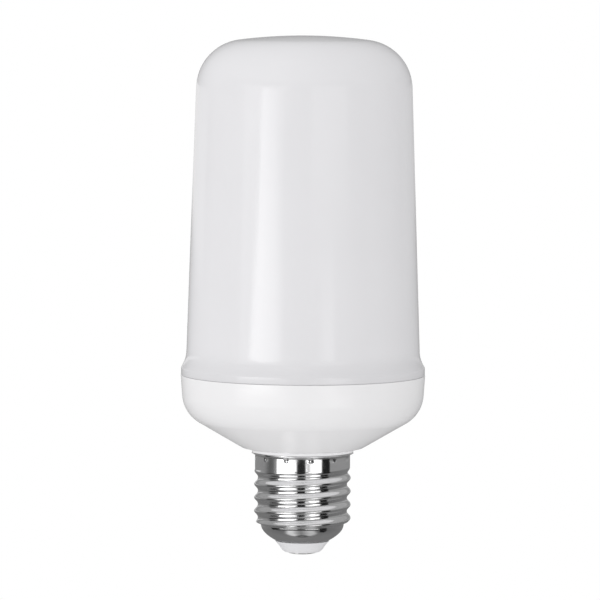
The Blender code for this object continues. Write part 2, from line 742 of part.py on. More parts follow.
def tail_sections():
    """(outer radius, outer height, inner radius, inner height) down the flex board's tail."""
    inner = FLEX_APOTHEM - FLEX_THICKNESS
    floor = CORE_LOW - SEAT
    centre = Vector((inner - TAIL_BEND, floor + TAIL_BEND))
    sections = []
    for step in range(CURVE_STEPS + 1):
        angle = -pi / 2 * step / CURVE_STEPS
        direction = Vector((cos(angle), sin(angle)))
        inside = centre + direction * TAIL_BEND
        outside = centre + direction * (TAIL_BEND + FLEX_THICKNESS)
        sections.append((outside.x, outside.y, inside.x, inside.y))
    end = inner - TAIL_REACH
    sections.append((end, floor - FLEX_THICKNESS, end, floor))
    return sections


def make_flex_board(finish):
    """The flexible board round the core, with its LEDs and its tail to the control board."""
    made = bmesh.new()
    inner_radius = FLEX_APOTHEM - FLEX_THICKNESS
    outer, inner = [], []
    for index in range(LED_COLUMNS + 1):
        outside = facet_line(index, FLEX_APOTHEM)
        inside = facet_line(index, inner_radius)
        levels = [FLEX_LOW + row * LED_ROW_PITCH for row in range(LED_ROWS + 1)]
        outer.append([made.verts.new((*outside, level)) for level in levels])
        inner.append([made.verts.new((*inside, level)) for level in (FLEX_LOW, FLEX_HIGH)])
    cells = []
    for index in range(LED_COLUMNS):
        left, right = outer[index], outer[index + 1]
        for row in range(LED_ROWS):
            cells.append(
                made.faces.new((left[row], right[row], right[row + 1], left[row + 1]))
            )
        low, high = inner[index], inner[index + 1]
        made.faces.new((high[0], low[0], low[1], high[1]))
        made.faces.new((left[-1], right[-1], high[1], low[1]))
        if index != TAIL_COLUMN:
            made.faces.new((right[0], left[0], low[0], high[0]))
    made.faces.new(outer[0][::-1] + inner[0])
    made.faces.new(outer[-1] + inner[-1][::-1])
    before = (
        outer[TAIL_COLUMN][0],
        outer[TAIL_COLUMN + 1][0],
        inner[TAIL_COLUMN + 1][0],
        inner[TAIL_COLUMN][0],
    )
    half = LED_COLUMN_PITCH / 2
    for out_y, out_z, in_y, in_z in tail_sections():
        section = (
            made.verts.new((half, out_y, out_z)),
            made.verts.new((-half, out_y, out_z)),
            made.verts.new((-half, in_y, in_z)),
            made.verts.new((half, in_y, in_z)),
        )
        for side in range(4):
            after = (side + 1) % 4
            made.faces.new((before[side], section[side], section[after], before[after]))
        before = section
    made.faces.new(before)
    bmesh.ops.recalc_face_normals(made, faces=made.faces)
    made.normal_update()
    raise_leds(made, cells)
    return add_object("led_flex_board", made, finish)


def make_top_board(finish):
    """The small board in the core's open top, with LEDs in a ring and one in the middle."""
    high = TOP_BOARD_LOW + BOARD_THICKNESS
    board = add_object(
        "top_led_board",
        rod_mesh(ROUND_BOARD_RADIUS, TOP_BOARD_LOW, high, segments=CAP_SEGMENTS),
        finish,
    )
    size = (LED_LENGTH, LED_WIDTH, LED_HEIGHT + OVERLAP)
    level = high + (LED_HEIGHT - OVERLAP) / 2
    packages = [block_mesh(size, (0.0, 0.0, level))]
    for index in range(TOP_LED_COUNT):
        package = block_mesh(size, (TOP_LED_CIRCLE, 0.0, level))
        packages.append(rotated(package, 2 * pi * index / TOP_LED_COUNT))
    combine(board, add_object("top_led_packages", merged(packages)), "UNION")
    return board


def capacitor_mesh(radius, length):
    """An electrolytic can on its base at the origin: crimp groove, rounded ends, upright."""
    edge = 2 * CAPACITOR_GROOVE
    outline = [
        (0.0, 0.0),
        (radius - CAPACITOR_GROOVE, 0.0),
        (radius, CAPACITOR_GROOVE),
        (radius, 3 * edge),
        (radius - CAPACITOR_GROOVE, 4 * edge),
        (radius, 5 * edge),
        (radius, length - CAPACITOR_GROOVE),
        (radius - CAPACITOR_GROOVE, length),
        (0.0, length),
    ]
    return turned_mesh(outline, SMALL_SEGMENTS)


def add_at(name, mesh_data, place, finish):
    """An object whose mesh stands at a place."""
    bmesh.ops.translate(mesh_data, verts=mesh_data.verts, vec=place)
    return add_object(name, mesh_data, finish)


def make_driver_board(finish):
    """The stepped mains board: a tongue in the cap, guided edges in the neck, a wide top."""
    guided = NECK_BORE + BOARD_SLOT_DEPTH - SEAT
    shoulder = bowl_height(BOARD_TOP_HALF_WIDTH) + SEAT
    guided_low = SLOT_FLOOR + SEAT
    outline = [
        (BOARD_TONGUE_HALF_WIDTH, NECK_LOW - BOARD_TONGUE_DROP),
        (BOARD_TONGUE_HALF_WIDTH, guided_low),
        (guided, guided_low),
        (guided, shoulder),
        (BOARD_TOP_HALF_WIDTH, shoulder),
        (BOARD_TOP_HALF_WIDTH, BOARD_TOP),
    ]
    outline += [(-x, z) for x, z in reversed(outline)]
    flat = prism_mesh(outline, -BOARD_THICKNESS / 2, BOARD_THICKNESS / 2)
    bmesh.ops.rotate(
        flat, verts=flat.verts, cent=(0, 0, 0), matrix=Matrix.Rotation(pi / 2, 3, "X")
    )
    return add_object("driver_board", flat, finish)


def shelf_level(length):
    """Low end of a part that stands midway up the driver board's wide top."""
    shelf = bowl_height(BOARD_TOP_HALF_WIDTH) + SEAT
    return max(shelf, (shelf + BOARD_TOP - length) / 2)


def make_driver_parts(finishes):
    """What the driver board carries, each piece flat against one of its faces."""
    guided_low = SLOT_FLOOR + SEAT
    mains = capacitor_mesh(MAINS_CAPACITOR_RADIUS, MAINS_CAPACITOR_LENGTH)
    place = (0.0, BOARD_FACE + MAINS_CAPACITOR_RADIUS, guided_low)
    add_at("mains_capacitor", mains, place, finishes["sleeve"])
    output = capacitor_mesh(OUTPUT_CAPACITOR_RADIUS, OUTPUT_CAPACITOR_LENGTH)
    out_x = -OUTPUT_CAPACITOR_RADIUS - PART_SPACING
    out_low = shelf_level(OUTPUT_CAPACITOR_LENGTH)
    place = (out_x, BOARD_FACE + OUTPUT_CAPACITOR_RADIUS, out_low)
    add_at("output_capacitor", output, place, finishes["sleeve"])
    choke_x = CHOKE_RADIUS + PART_SPACING
    choke_y = BOARD_FACE + CHOKE_RADIUS
    drum = [
        (0.0, 0.0),
        (CHOKE_RADIUS, 0.0),
        (CHOKE_RADIUS, CHOKE_FLANGE),
        (CHOKE_CORE_RADIUS, CHOKE_FLANGE),
        (CHOKE_CORE_RADIUS, CHOKE_LENGTH - CHOKE_FLANGE),
        (CHOKE_RADIUS, CHOKE_LENGTH - CHOKE_FLANGE),
        (CHOKE_RADIUS, CHOKE_LENGTH),
        (0.0, CHOKE_LENGTH),
    ]
    place = (choke_x, choke_y, shelf_level(CHOKE_LENGTH))
    add_at("choke_core", turned_mesh(drum, SMALL_SEGMENTS), place, finishes["ferrite"])
    coil_low = CHOKE_FLANGE + SEAT
    coil_high = CHOKE_LENGTH - CHOKE_FLANGE - SEAT
    coil = [
        (CHOKE_CORE_RADIUS + SEAT, coil_low),
        (CHOKE_WINDING_RADIUS, coil_low),
        (CHOKE_WINDING_RADIUS, coil_high),
        (CHOKE_CORE_RADIUS + SEAT, coil_high),
    ]
    add_at("choke_winding", turned_mesh(coil, SMALL_SEGMENTS), place, finishes["copper"])
    packages = (
        ("bridge_rectifier", BRIDGE_SIZE, 0.0, guided_low + BRIDGE_SIZE[2]),
        ("driver_chip", DRIVER_CHIP_SIZE, out_x, shelf_level(DRIVER_CHIP_SIZE[2])),
        ("freewheel_diode", DIODE_SIZE, choke_x, shelf_level(DIODE_SIZE[2])),
    )
    for name, size, x, z in packages:
        place = (x, -BOARD_FACE - size[1] / 2, z + size[2] / 2)
        add_at(name, block_mesh(size, (0, 0, 0), PACKAGE_BEVEL), place, finishes["package"])
    body = [
        (0.0, 0.0),
        (RESISTOR_END_RADIUS, 0.0),
        (RESISTOR_RADIUS, RESISTOR_RADIUS / 2),
        (RESISTOR_RADIUS, RESISTOR_LENGTH - RESISTOR_RADIUS / 2),
        (RESISTOR_END_RADIUS, RESISTOR_LENGTH),
        (0.0, RESISTOR_LENGTH),
    ]
    resistor_low = NECK_LOW - BOARD_TONGUE_DROP
    place = (0.0, -BOARD_FACE - RESISTOR_RADIUS, resistor_low)
    add_at("fuse_resistor", turned_mesh(body, SMALL_SEGMENTS), place, finishes["resistor"])
    return Vector((0.0, -BOARD_FACE - RESISTOR_RADIUS, resistor_low))


def make_control_board(finishes):
    """The round board in the core's foot, and what stands on it."""
    disc = rod_mesh(ROUND_BOARD_RADIUS, CORE_LOW, CONTROL_BOARD_TOP, segments=CAP_SEGMENTS)
    add_object("control_board", disc, finishes["board"])
    deck = CONTROL_BOARD_TOP + SEAT
    chip = block_mesh(MICROCONTROLLER_SIZE, (0, 0, 0), PACKAGE_BEVEL)
    place = (0.0, 0.0, deck + MICROCONTROLLER_SIZE[2] / 2)
    add_at("microcontroller", chip, place, finishes["package"])
    can = capacitor_mesh(SUPPLY_CAPACITOR_RADIUS, SUPPLY_CAPACITOR_LENGTH)
    can_y = -MICROCONTROLLER_SIZE[1] / 2 - PART_SPACING - SUPPLY_CAPACITOR_RADIUS
    add_at("supply_capacitor", can, (0.0, can_y, deck), finishes["sleeve"])
    per_side = LED_ROWS // 2
    for index in range(LED_ROWS):
        side = -1 if index < per_side else 1
        y = (index % per_side - (per_side - 1) / 2) * TRANSISTOR_SPACING
        package = block_mesh(TRANSISTOR_SIZE, (0, 0, 0))
        place = (side * TRANSISTOR_COLUMN, y, deck + TRANSISTOR_SIZE[2] / 2)
        add_at(f"row_transistor_{index + 1}", package, place, finishes["package"])


def make_wire(name, route, finish):
    """A round wire on a smooth curve through the points of its route."""
    curve = bpy.data.curves.new(name, "CURVE")
    curve.dimensions = "3D"
    curve.bevel_depth = WIRE_RADIUS
    curve.bevel_resolution = 2
    curve.use_fill_caps = True
    points = [Vector(point) for point in route]
    ends = [2 * points[0] - points[1], *points, 2 * points[-1] - points[-2]]
    smooth = []
    for index in range(len(points) - 1):
        a, b, c, d = ends[index : index + 4]
        for step in range(CURVE_STEPS):
            t = step / CURVE_STEPS
            smooth.append(
                0.5
                * (
                    2 * b
                    + (c - a) * t
                    + (2 * a - 5 * b + 4 * c - d) * t * t
                    + (3 * b - 3 * c + d - a) * t * t * t
                )
            )
    smooth.append(points[-1])
    line = curve.splines.new("POLY")
    line.points.add(len(smooth) - 1)
    for point, place in zip(line.points, smooth):
        point.co = (*place, 1.0)
    curve.materials.append(finish)
    made = bpy.data.objects.new(name, curve)
    bpy.context.collection.objects.link(made)
    return made


def make_wires(shank_top, resistor_foot, finishes):
    """The wires from the cap to the driver board, and between the boards."""
    start = Vector((0.0, 0.0, shank_top + SEAT))
    end = resistor_foot - Vector((0.0, 0.0, SEAT))
    middle = (start + end) / 2 + Vector((WIRE_RADIUS, 0.0, 0.0))
    make_wire("live_wire", [start, middle, end], finishes["live"])
    wall = SKIRT_RADIUS - WIRE_RADIUS
    tongue_low = NECK_LOW - BOARD_TONGUE_DROP
    face = BOARD_FACE + WIRE_RADIUS
    edge = BOARD_TONGUE_HALF_WIDTH
    route = [
        (-edge + 3 * WIRE_RADIUS, -face, tongue_low + 4 * WIRE_RADIUS),
        (-edge, -face - WIRE_RADIUS, tongue_low + WIRE_RADIUS),
        (-(edge + wall) / 2, -face - WIRE_RADIUS, tongue_low + WIRE_RADIUS),
        (-wall + WIRE_RADIUS, -face, tongue_low + 4 * WIRE_RADIUS),
        (-wall + WIRE_RADIUS, -face / 2, NECK_LOW - 2 * WIRE_RADIUS),
    ]
    make_wire("neutral_wire", route, finishes["neutral"])
    lead_x = BOARD_TOP_HALF_WIDTH - 3 * WIRE_RADIUS
    for name, side in (("dc_lead_positive", 1), ("dc_lead_negative", -1)):
        route = [
            (side * lead_x, face, BOARD_TOP - 4 * WIRE_RADIUS),
            (side * lead_x, face, BOARD_TOP),
            (side * (lead_x - WIRE_RADIUS), face + 2 * WIRE_RADIUS, CORE_LOW - SEAT),
        ]
        make_wire(name, route, finishes["live" if side > 0 else "neutral"])
    lead_y = MICROCONTROLLER_SIZE[1] / 2 + LEAD_OFFSET
    low = CONTROL_BOARD_TOP + SEAT
    high = TOP_BOARD_LOW - SEAT
    for name, side in (("top_lead_positive", 1), ("top_lead_negative", -1)):
        x = side * 2 * WIRE_RADIUS
        route = [
            (x, lead_y, low),
            (x, lead_y + WIRE_RADIUS, low + (high - low) / 4),
            (x + side * WIRE_RADIUS, lead_y, (low + high) / 2),
            (x, lead_y - WIRE_RADIUS, high - (high - low) / 4),
            (x, lead_y, high),
        ]
        make_wire(name, route, finishes["live" if side > 0 else "neutral"])


def make_screws(finish):
    """The three screws through the flange's ears into the posts."""
    under = CORE_LOW + FLANGE_THICKNESS + SEAT
    tip = CORE_LOW - SEAT - SCREW_LENGTH
    outline = [
        (0.0, tip),
        (SCREW_SHANK_RADIUS, tip + SCREW_POINT),
        (SCREW_SHANK_RADIUS, under),
        (SCREW_HEAD_RADIUS, under),
        (SCREW_HEAD_RADIUS, under + SCREW_HEAD_HEIGHT / 2),
        (SCREW_HEAD_TOP_RADIUS, under + SCREW_HEAD_HEIGHT),
        (0.0, under + SCREW_HEAD_HEIGHT),
    ]
    for index, (_, centre) in enumerate(post_places(), 1):
        screw = turned_mesh(outline, SMALL_SEGMENTS)
        add_at(f"core_screw_{index}", screw, (*centre, 0.0), finish)


def main():
    """Build the lamp."""
    clear_scene()
    opal = finish_material("opal cover", (0.80, 0.80, 0.80), 0.35)
    housing_white = finish_material("housing white", (0.86, 0.86, 0.87), 0.35)
    nickel = finish_material("bright nickel", (0.62, 0.62, 0.63), 0.12, 1.0)
    nose_white = finish_material("insulator white", (0.80, 0.80, 0.82), 0.45)
    solder = finish_material("tinned contact", (0.75, 0.75, 0.74), 0.35, 1.0)
    core_white = finish_material("carrier white", (0.78, 0.78, 0.77), 0.5)
    flex_white = finish_material("white solder mask", (0.82, 0.80, 0.72), 0.4)
    screw_steel = finish_material("zinc plated steel", (0.60, 0.61, 0.62), 0.3, 1.0)
    finishes = {
        "board": finish_material("fibreglass board", (0.10, 0.26, 0.12), 0.4),
        "package": finish_material("moulded package", (0.02, 0.02, 0.022), 0.5),
        "sleeve": finish_material("capacitor sleeve", (0.02, 0.03, 0.08), 0.3),
        "ferrite": finish_material("ferrite", (0.05, 0.05, 0.055), 0.6),
        "copper": finish_material("enamelled copper", (0.55, 0.20, 0.07), 0.3, 1.0),
        "resistor": finish_material("resistor coating", (0.12, 0.32, 0.40), 0.45),
        "live": finish_material("red wire", (0.55, 0.02, 0.02), 0.45),
        "neutral": finish_material("black wire", (0.02, 0.02, 0.02), 0.45),
    }
    make_cap_shell(nickel)
    shank_top = make_cap_nose(nose_white, solder)
    make_housing(housing_white)
    make_diffuser(opal)
    make_core(core_white)
    make_flex_board(flex_white)
    make_top_board(flex_white)
    make_driver_board(finishes["board"])
    resistor_foot = make_driver_parts(finishes)
    make_control_board(finishes)
    make_wires(shank_top, resistor_foot, finishes)
    make_screws(screw_steel)


main()
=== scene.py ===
"""Looks of a flame effect LED lamp on an E27 screw cap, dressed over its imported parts.

Metres, +Z up the lamp's axis, origin at the middle of the contact's flat. Azimuths are turned
from the side that faces the camera, which is -Y, and grow to the camera's right.
"""

from __future__ import annotations

import logging
from collections.abc import Iterator, Sequence
from dataclasses import dataclass
from enum import Enum
from math import atan2, ceil, cos, pi, radians, sin, sqrt, tan

import bmesh
import bpy
from mathutils import Matrix, Vector


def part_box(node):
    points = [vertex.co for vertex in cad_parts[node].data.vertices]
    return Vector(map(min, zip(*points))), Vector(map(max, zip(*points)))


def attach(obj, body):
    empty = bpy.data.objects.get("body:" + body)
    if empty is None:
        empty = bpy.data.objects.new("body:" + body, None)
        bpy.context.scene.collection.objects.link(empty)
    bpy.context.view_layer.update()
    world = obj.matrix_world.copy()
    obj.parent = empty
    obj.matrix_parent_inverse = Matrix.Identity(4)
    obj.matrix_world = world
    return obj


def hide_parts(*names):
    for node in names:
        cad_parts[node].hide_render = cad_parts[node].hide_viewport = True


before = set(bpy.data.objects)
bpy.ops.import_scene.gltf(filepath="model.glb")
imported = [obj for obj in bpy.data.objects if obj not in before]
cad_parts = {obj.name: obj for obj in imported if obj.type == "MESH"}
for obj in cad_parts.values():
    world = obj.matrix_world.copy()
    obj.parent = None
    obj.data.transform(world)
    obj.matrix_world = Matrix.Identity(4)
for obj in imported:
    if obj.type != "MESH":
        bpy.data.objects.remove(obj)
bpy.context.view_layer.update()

log = logging.getLogger("lamp")

BODY = "root"
SEAT = 0.0003
MERGE = 1e-6
FINE_CHORD = 0.0004
WIDE_SEGMENTS = 180
NOSE_SEGMENTS = 96
SMALL_SEGMENTS = 24
MIX_SHARE, MIX_LOW, MIX_HIGH, MIX_RESULT = 0, 6, 7, 2
WHITE = (1.0, 1.0, 1.0, 1.0)
CREST = "crest"
CARD_SHARE, CARD_GLOW = "cover", "glow"

Colour = tuple[float, float, float]
Place = tuple[float, float, float]
Point = tuple[float, float]


class Field:
    """A value that a node tree works out, with the usual arithmetic."""

    def __init__(self, graph: Graph, socket: bpy.types.NodeSocket) -> None:
        """Wrap one output socket of a tree."""
        self.graph = graph
        self.socket = socket

    def __add__(self, other: Field | float) -> Field:
        """Sum."""
        return self.graph.math("ADD", self, other)

    def __radd__(self, other: float) -> Field:
        """Sum, from the right."""
        return self.graph.math("ADD", other, self)

    def __sub__(self, other: Field | float) -> Field:
        """Difference."""
        return self.graph.math("SUBTRACT", self, other)

    def __rsub__(self, other: float) -> Field:
        """Difference, from the right."""
        return self.graph.math("SUBTRACT", other, self)

    def __mul__(self, other: Field | float) -> Field:
        """Product."""
        return self.graph.math("MULTIPLY", self, other)

    def __rmul__(self, other: float) -> Field:
        """Product, from the right."""
        return self.graph.math("MULTIPLY", other, self)

    def __truediv__(self, other: Field | float) -> Field:
        """Quotient."""
        return self.graph.math("DIVIDE", self, other)


class Graph:
    """A node tree under construction."""

    def __init__(self, tree: bpy.types.NodeTree) -> None:
        """Work on a tree."""
        self.tree = tree

    def node(
        self, kind: str, inputs: dict[str | int, object] | None = None, **settings: object
    ) -> bpy.types.Node:
        """Add a node.

        Args:
            kind: The node's type name.
            inputs: Values or fields by input name or number.
            **settings: Properties set before the inputs.

        Returns:
            The new node.
        """
        made = self.tree.nodes.new(kind)
        for name, value in settings.items():
            setattr(made, name, value)
        for key, value in (inputs or {}).items():
            self.feed(made.inputs[key], value)
        return made

    def feed(self, socket: bpy.types.NodeSocket, value: object) -> None:
        """Link a field to an input, or set the input's own value.

        Args:
            socket: The input.
            value: A field, or a plain value for the socket itself.
        """
        if isinstance(value, Field):
            self.tree.links.new(value.socket, socket)
        else:
            socket.default_value = value

    def field(
        self,
        kind: str,
        inputs: dict[str | int, object] | None = None,
        output: str | int = 0,
        **settings: object,
    ) -> Field:
        """Add a node and return one of its outputs.

        Args:
            kind: The node's type name.
            inputs: Values or fields by input name or number.
            output: The name or number of the output.
            **settings: Properties set before the inputs.

        Returns:
            The output as a field.
        """
        return Field(self, self.node(kind, inputs, **settings).outputs[output])

    def math(self, operation: str, *values: Field | float) -> Field:
        """A Math node."""
        return self.field("ShaderNodeMath", dict(enumerate(values)), operation=operation)

    def ramp(self, value: Field, low: object, high: object, smooth: bool = True) -> Field:
        """Rise from 0 to 1 while a value goes from low to high.

        Args:
            value: The field that is read.
            low: Where the rise starts.
            high: Where it ends.
            smooth: Ease in and out, or rise evenly.

        Returns:
            The clamped share.
        """
        kind = "SMOOTHSTEP" if smooth else "LINEAR"
        inputs = {"Value": value, "From Min": low, "From Max": high}
        return self.field("ShaderNodeMapRange", inputs, "Result", interpolation_type=kind)

    def axes(self, vector: Field) -> tuple[Field, Field, Field]:
        """The three parts of a vector."""
        split = self.node("ShaderNodeSeparateXYZ", {0: vector})
        return tuple(Field(self, part) for part in split.outputs)

    def vector(self, x: Field | float, y: Field | float, z: Field | float) -> Field:
        """A vector from three parts."""
        return self.field("ShaderNodeCombineXYZ", {0: x, 1: y, 2: z})


class Recipe:
    """A Geometry Nodes tree with named inputs that is run once into a plain mesh."""

    def __init__(self, name: str) -> None:
        """Start an empty tree with its material input."""
        self.tree = bpy.data.node_groups.new(name, "GeometryNodeTree")
        self.graph = Graph(self.tree)
        self.tree.interface.new_socket(
            "Geometry", in_out="OUTPUT", socket_type="NodeSocketGeometry"
        )
        self.entry = self.tree.nodes.new("NodeGroupInput")
        self.values: dict[str, object] = {}
        self.material = self._input("Material", "NodeSocketMaterial", None)

    def _input(self, name: str, kind: str, value: object) -> Field:
        """Add a named input and remember its value.

        Args:
            name: The input's name.
            kind: The socket's type name.
            value: What the modifier sets it to.

        Returns:
            The input as a field.
        """
        self.tree.interface.new_socket(name, in_out="INPUT", socket_type=kind)
        self.values[name] = value
        return Field(self.graph, self.entry.outputs[name])

    def length(self, name: str, value: float) -> Field:
        """A named size."""
        return self._input(name, "NodeSocketFloat", value)

    def count(self, name: str, value: int) -> Field:
        """A named whole number."""
        return self._input(name, "NodeSocketInt", value)

    def finish(self, geometry: Field) -> None:
        """End the tree with real geometry in its material.

        Args:
            geometry: What the tree has made.
        """
        graph = self.graph
        smooth = graph.field("GeometryNodeSetShadeSmooth", {"Geometry": geometry})
        real = graph.field("GeometryNodeRealizeInstances", {"Geometry": smooth})
        dressed = graph.field(
            "GeometryNodeSetMaterial", {"Geometry": real, "Material": self.material}
        )
        graph.node("NodeGroupOutput", {"Geometry": dressed})

    def run(self, name: str, finish: bpy.types.Material, wall: float = 0.0) -> bpy.types.Object:
        """Evaluate the tree into a mesh object.

        Args:
            name: The piece's name.
            finish: The material that the tree sets.
            wall: Thickness that a sheet gets inwards, or 0.

        Returns:
            A plain mesh object with no modifier.
        """
        piece = bpy.data.objects.new(name, bpy.data.meshes.new(name))
        bpy.context.collection.objects.link(piece)
        step = piece.modifiers.new("shape", "NODES")
        step.node_group = self.tree
        for item in self.tree.interface.items_tree:
            if item.in_out == "INPUT":
                value = finish if item.name == "Material" else self.values[item.name]
                step[item.identifier] = value
        if wall:
            sheet = piece.modifiers.new("sheet", "SOLIDIFY")
            sheet.thickness = wall
            sheet.offset = -1.0
            sheet.use_even_offset = True
        return baked(piece)


def baked(piece: bpy.types.Object) -> bpy.types.Object:
    """Turn what the modifiers make into the object's own plain mesh.

    Args:
        piece: An object with its modifiers still live.

    Returns:
        The same object, with no modifier.
    """
    graph = bpy.context.evaluated_depsgraph_get()
    mesh = bpy.data.meshes.new_from_object(
        piece.evaluated_get(graph), preserve_all_data_layers=True, depsgraph=graph
    )
    mesh.name = piece.name
    piece.modifiers.clear()
    piece.data = mesh
    return piece


def new_object(
    name: str, made: bmesh.types.BMesh, finish: bpy.types.Material | None = None
) -> bpy.types.Object:
    """An object from a bmesh, shaded smooth between its sharp edges.

    Args:
        name: The object's name.
        made: Its geometry, which is freed.
        finish: Its material, or None for a cutter.

    Returns:
        The linked object.
    """
    mesh = bpy.data.meshes.new(name)
    made.to_mesh(mesh)
    made.free()
    if finish is not None:
        mesh.materials.append(finish)
    shade(mesh)
    piece = bpy.data.objects.new(name, mesh)
    bpy.context.collection.objects.link(piece)
    return piece


def shade(mesh: bpy.types.Mesh, sharp: float = radians(35)) -> None:
    """Smooth shading with sharp edges past an angle."""
    mesh.shade_smooth()
    mesh.set_sharp_from_angle(angle=sharp)


def subtract(target: bpy.types.Object, cutters: Sequence[bpy.types.Object]) -> None:
    """Cut objects from a target one after another, and delete them.

    Args:
        target: What is cut.
        cutters: The forms that are taken out of it.
    """
    for cutter in cutters:
        step = target.modifiers.new(cutter.name, "BOOLEAN")
        step.operation = "DIFFERENCE"
        step.solver = "EXACT"
        step.object = cutter
    baked(target)
    for cutter in cutters:
        bpy.data.objects.remove(cutter, do_unlink=True)


@dataclass(frozen=True)
class Corner:
    """A corner of a turned outline, with the radius that rounds it."""

    radius: float
    height: float
    rounding: float = 0.0


def arc(centre: Point, radius: float, start: float, end: float) -> list[Point]:
    """Points along an arc, spaced by the fine chord.

    Args:
        centre: Middle of the arc, as (radius, height).
        radius: The arc's own radius.
        start: First angle.
        end: Last angle.

    Returns:
        Points of (radius, height), both ends included.
    """
    steps = max(3, ceil(abs(end - start) * radius / FINE_CHORD))
    turns = [start + (end - start) * step / steps for step in range(steps + 1)]
    return [(centre[0] + radius * cos(turn), centre[1] + radius * sin(turn)) for turn in turns]


def rounded(corners: Sequence[Corner]) -> list[Point]:
    """Fillet the corners of an outline by their own radii.

    Args:
        corners: The sharp corners in order.

    Returns:
        Points of (radius, height).
    """
    points: list[Point] = []
    for index, corner in enumerate(corners):
        here = Vector((corner.radius, corner.height))
        if not corner.rounding:
            points.append((corner.radius, corner.height))
            continue
        earlier, later = corners[index - 1], corners[(index + 1) % len(corners)]
        before = (Vector((earlier.radius, earlier.height)) - here).normalized()
        after = (Vector((later.radius, later.height)) - here).normalized()
        half = before.angle(after) / 2
        centre = here + (before + after).normalized() * corner.rounding / sin(half)
        first = here + before * corner.rounding / tan(half) - centre
        last = here + after * corner.rounding / tan(half) - centre
        start = atan2(first.y, first.x)
        sweep = (atan2(last.y, last.x) - start + pi) % (2 * pi) - pi
        points += arc(tuple(centre), corner.rounding, start, start + sweep)
    return points


def turned(outline: Sequence[Point], segments: int, turn: float = 0.0) -> bmesh.types.BMesh:
    """Spin an outline about the lamp's axis into a closed body.

    Args:
        outline: Points of (radius, height) in order.
        segments: Steps round the axis.
        turn: Angle of the first column.

    Returns:
        The body, with its faces pointing out.
    """
    made = bmesh.new()
    points = [made.verts.new((radius, 0.0, height)) for radius, height in outline]
    edges = [made.edges.new(pair) for pair in zip(points, points[1:])]
    if outline[0][0] > 0.0 or outline[-1][0] > 0.0:
        edges.append(made.edges.new((points[-1], points[0])))
    bmesh.ops.rotate(made, verts=points, cent=(0, 0, 0), matrix=Matrix.Rotation(turn, 3, "Z"))
    bmesh.ops.spin(
        made,
        geom=points + edges,
        cent=(0, 0, 0),
        axis=(0, 0, 1),
        angle=2 * pi,
        steps=segments,
        use_merge=True,
    )
    bmesh.ops.remove_doubles(made, verts=made.verts, dist=MERGE)
    bmesh.ops.recalc_face_normals(made, faces=made.faces)
    return made


def block(size: Place, centre: Place) -> bmesh.types.BMesh:
    """A plain block.

    Args:
        size: Its three lengths.
        centre: Its middle.

    Returns:
        The block.
    """
    made = bmesh.new()
    bmesh.ops.create_cube(made, size=1.0)
    bmesh.ops.scale(made, verts=made.verts, vec=size)
    bmesh.ops.translate(made, verts=made.verts, vec=centre)
    return made


def hand_over(piece: bpy.types.Object, slot: str, *nodes: str) -> bpy.types.Object:
    """Give a finished piece to the frame and report it.

    Args:
        piece: The object, at the origin with its place in its mesh.
        slot: A material slot name, which is only written to the log.
        *nodes: The frame's nodes that it stands for.

    Returns:
        The same object.
    """
    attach(piece, BODY)
    if nodes:
        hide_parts(*nodes)
    log.info("%s: %d faces, slot %s", piece.name, len(piece.data.polygons), slot)
    return piece


def dress(node: str, finish: bpy.types.Material) -> None:
    """Put a material on a node of the frame.

    Args:
        node: The node's name in the frame.
        finish: The material for all its faces.
    """
    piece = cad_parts[node]
    if not piece.material_slots:
        piece.data.materials.append(finish)
    for slot in piece.material_slots:
        slot.material = finish
    log.info("%s: dressed in %s", node, finish.name)


class Effect(Enum):
    """The surface effects that several materials share."""

    GRAIN = "moulded grain"
    SPECKS = "dust specks"
    STREAKS = "polishing streaks"


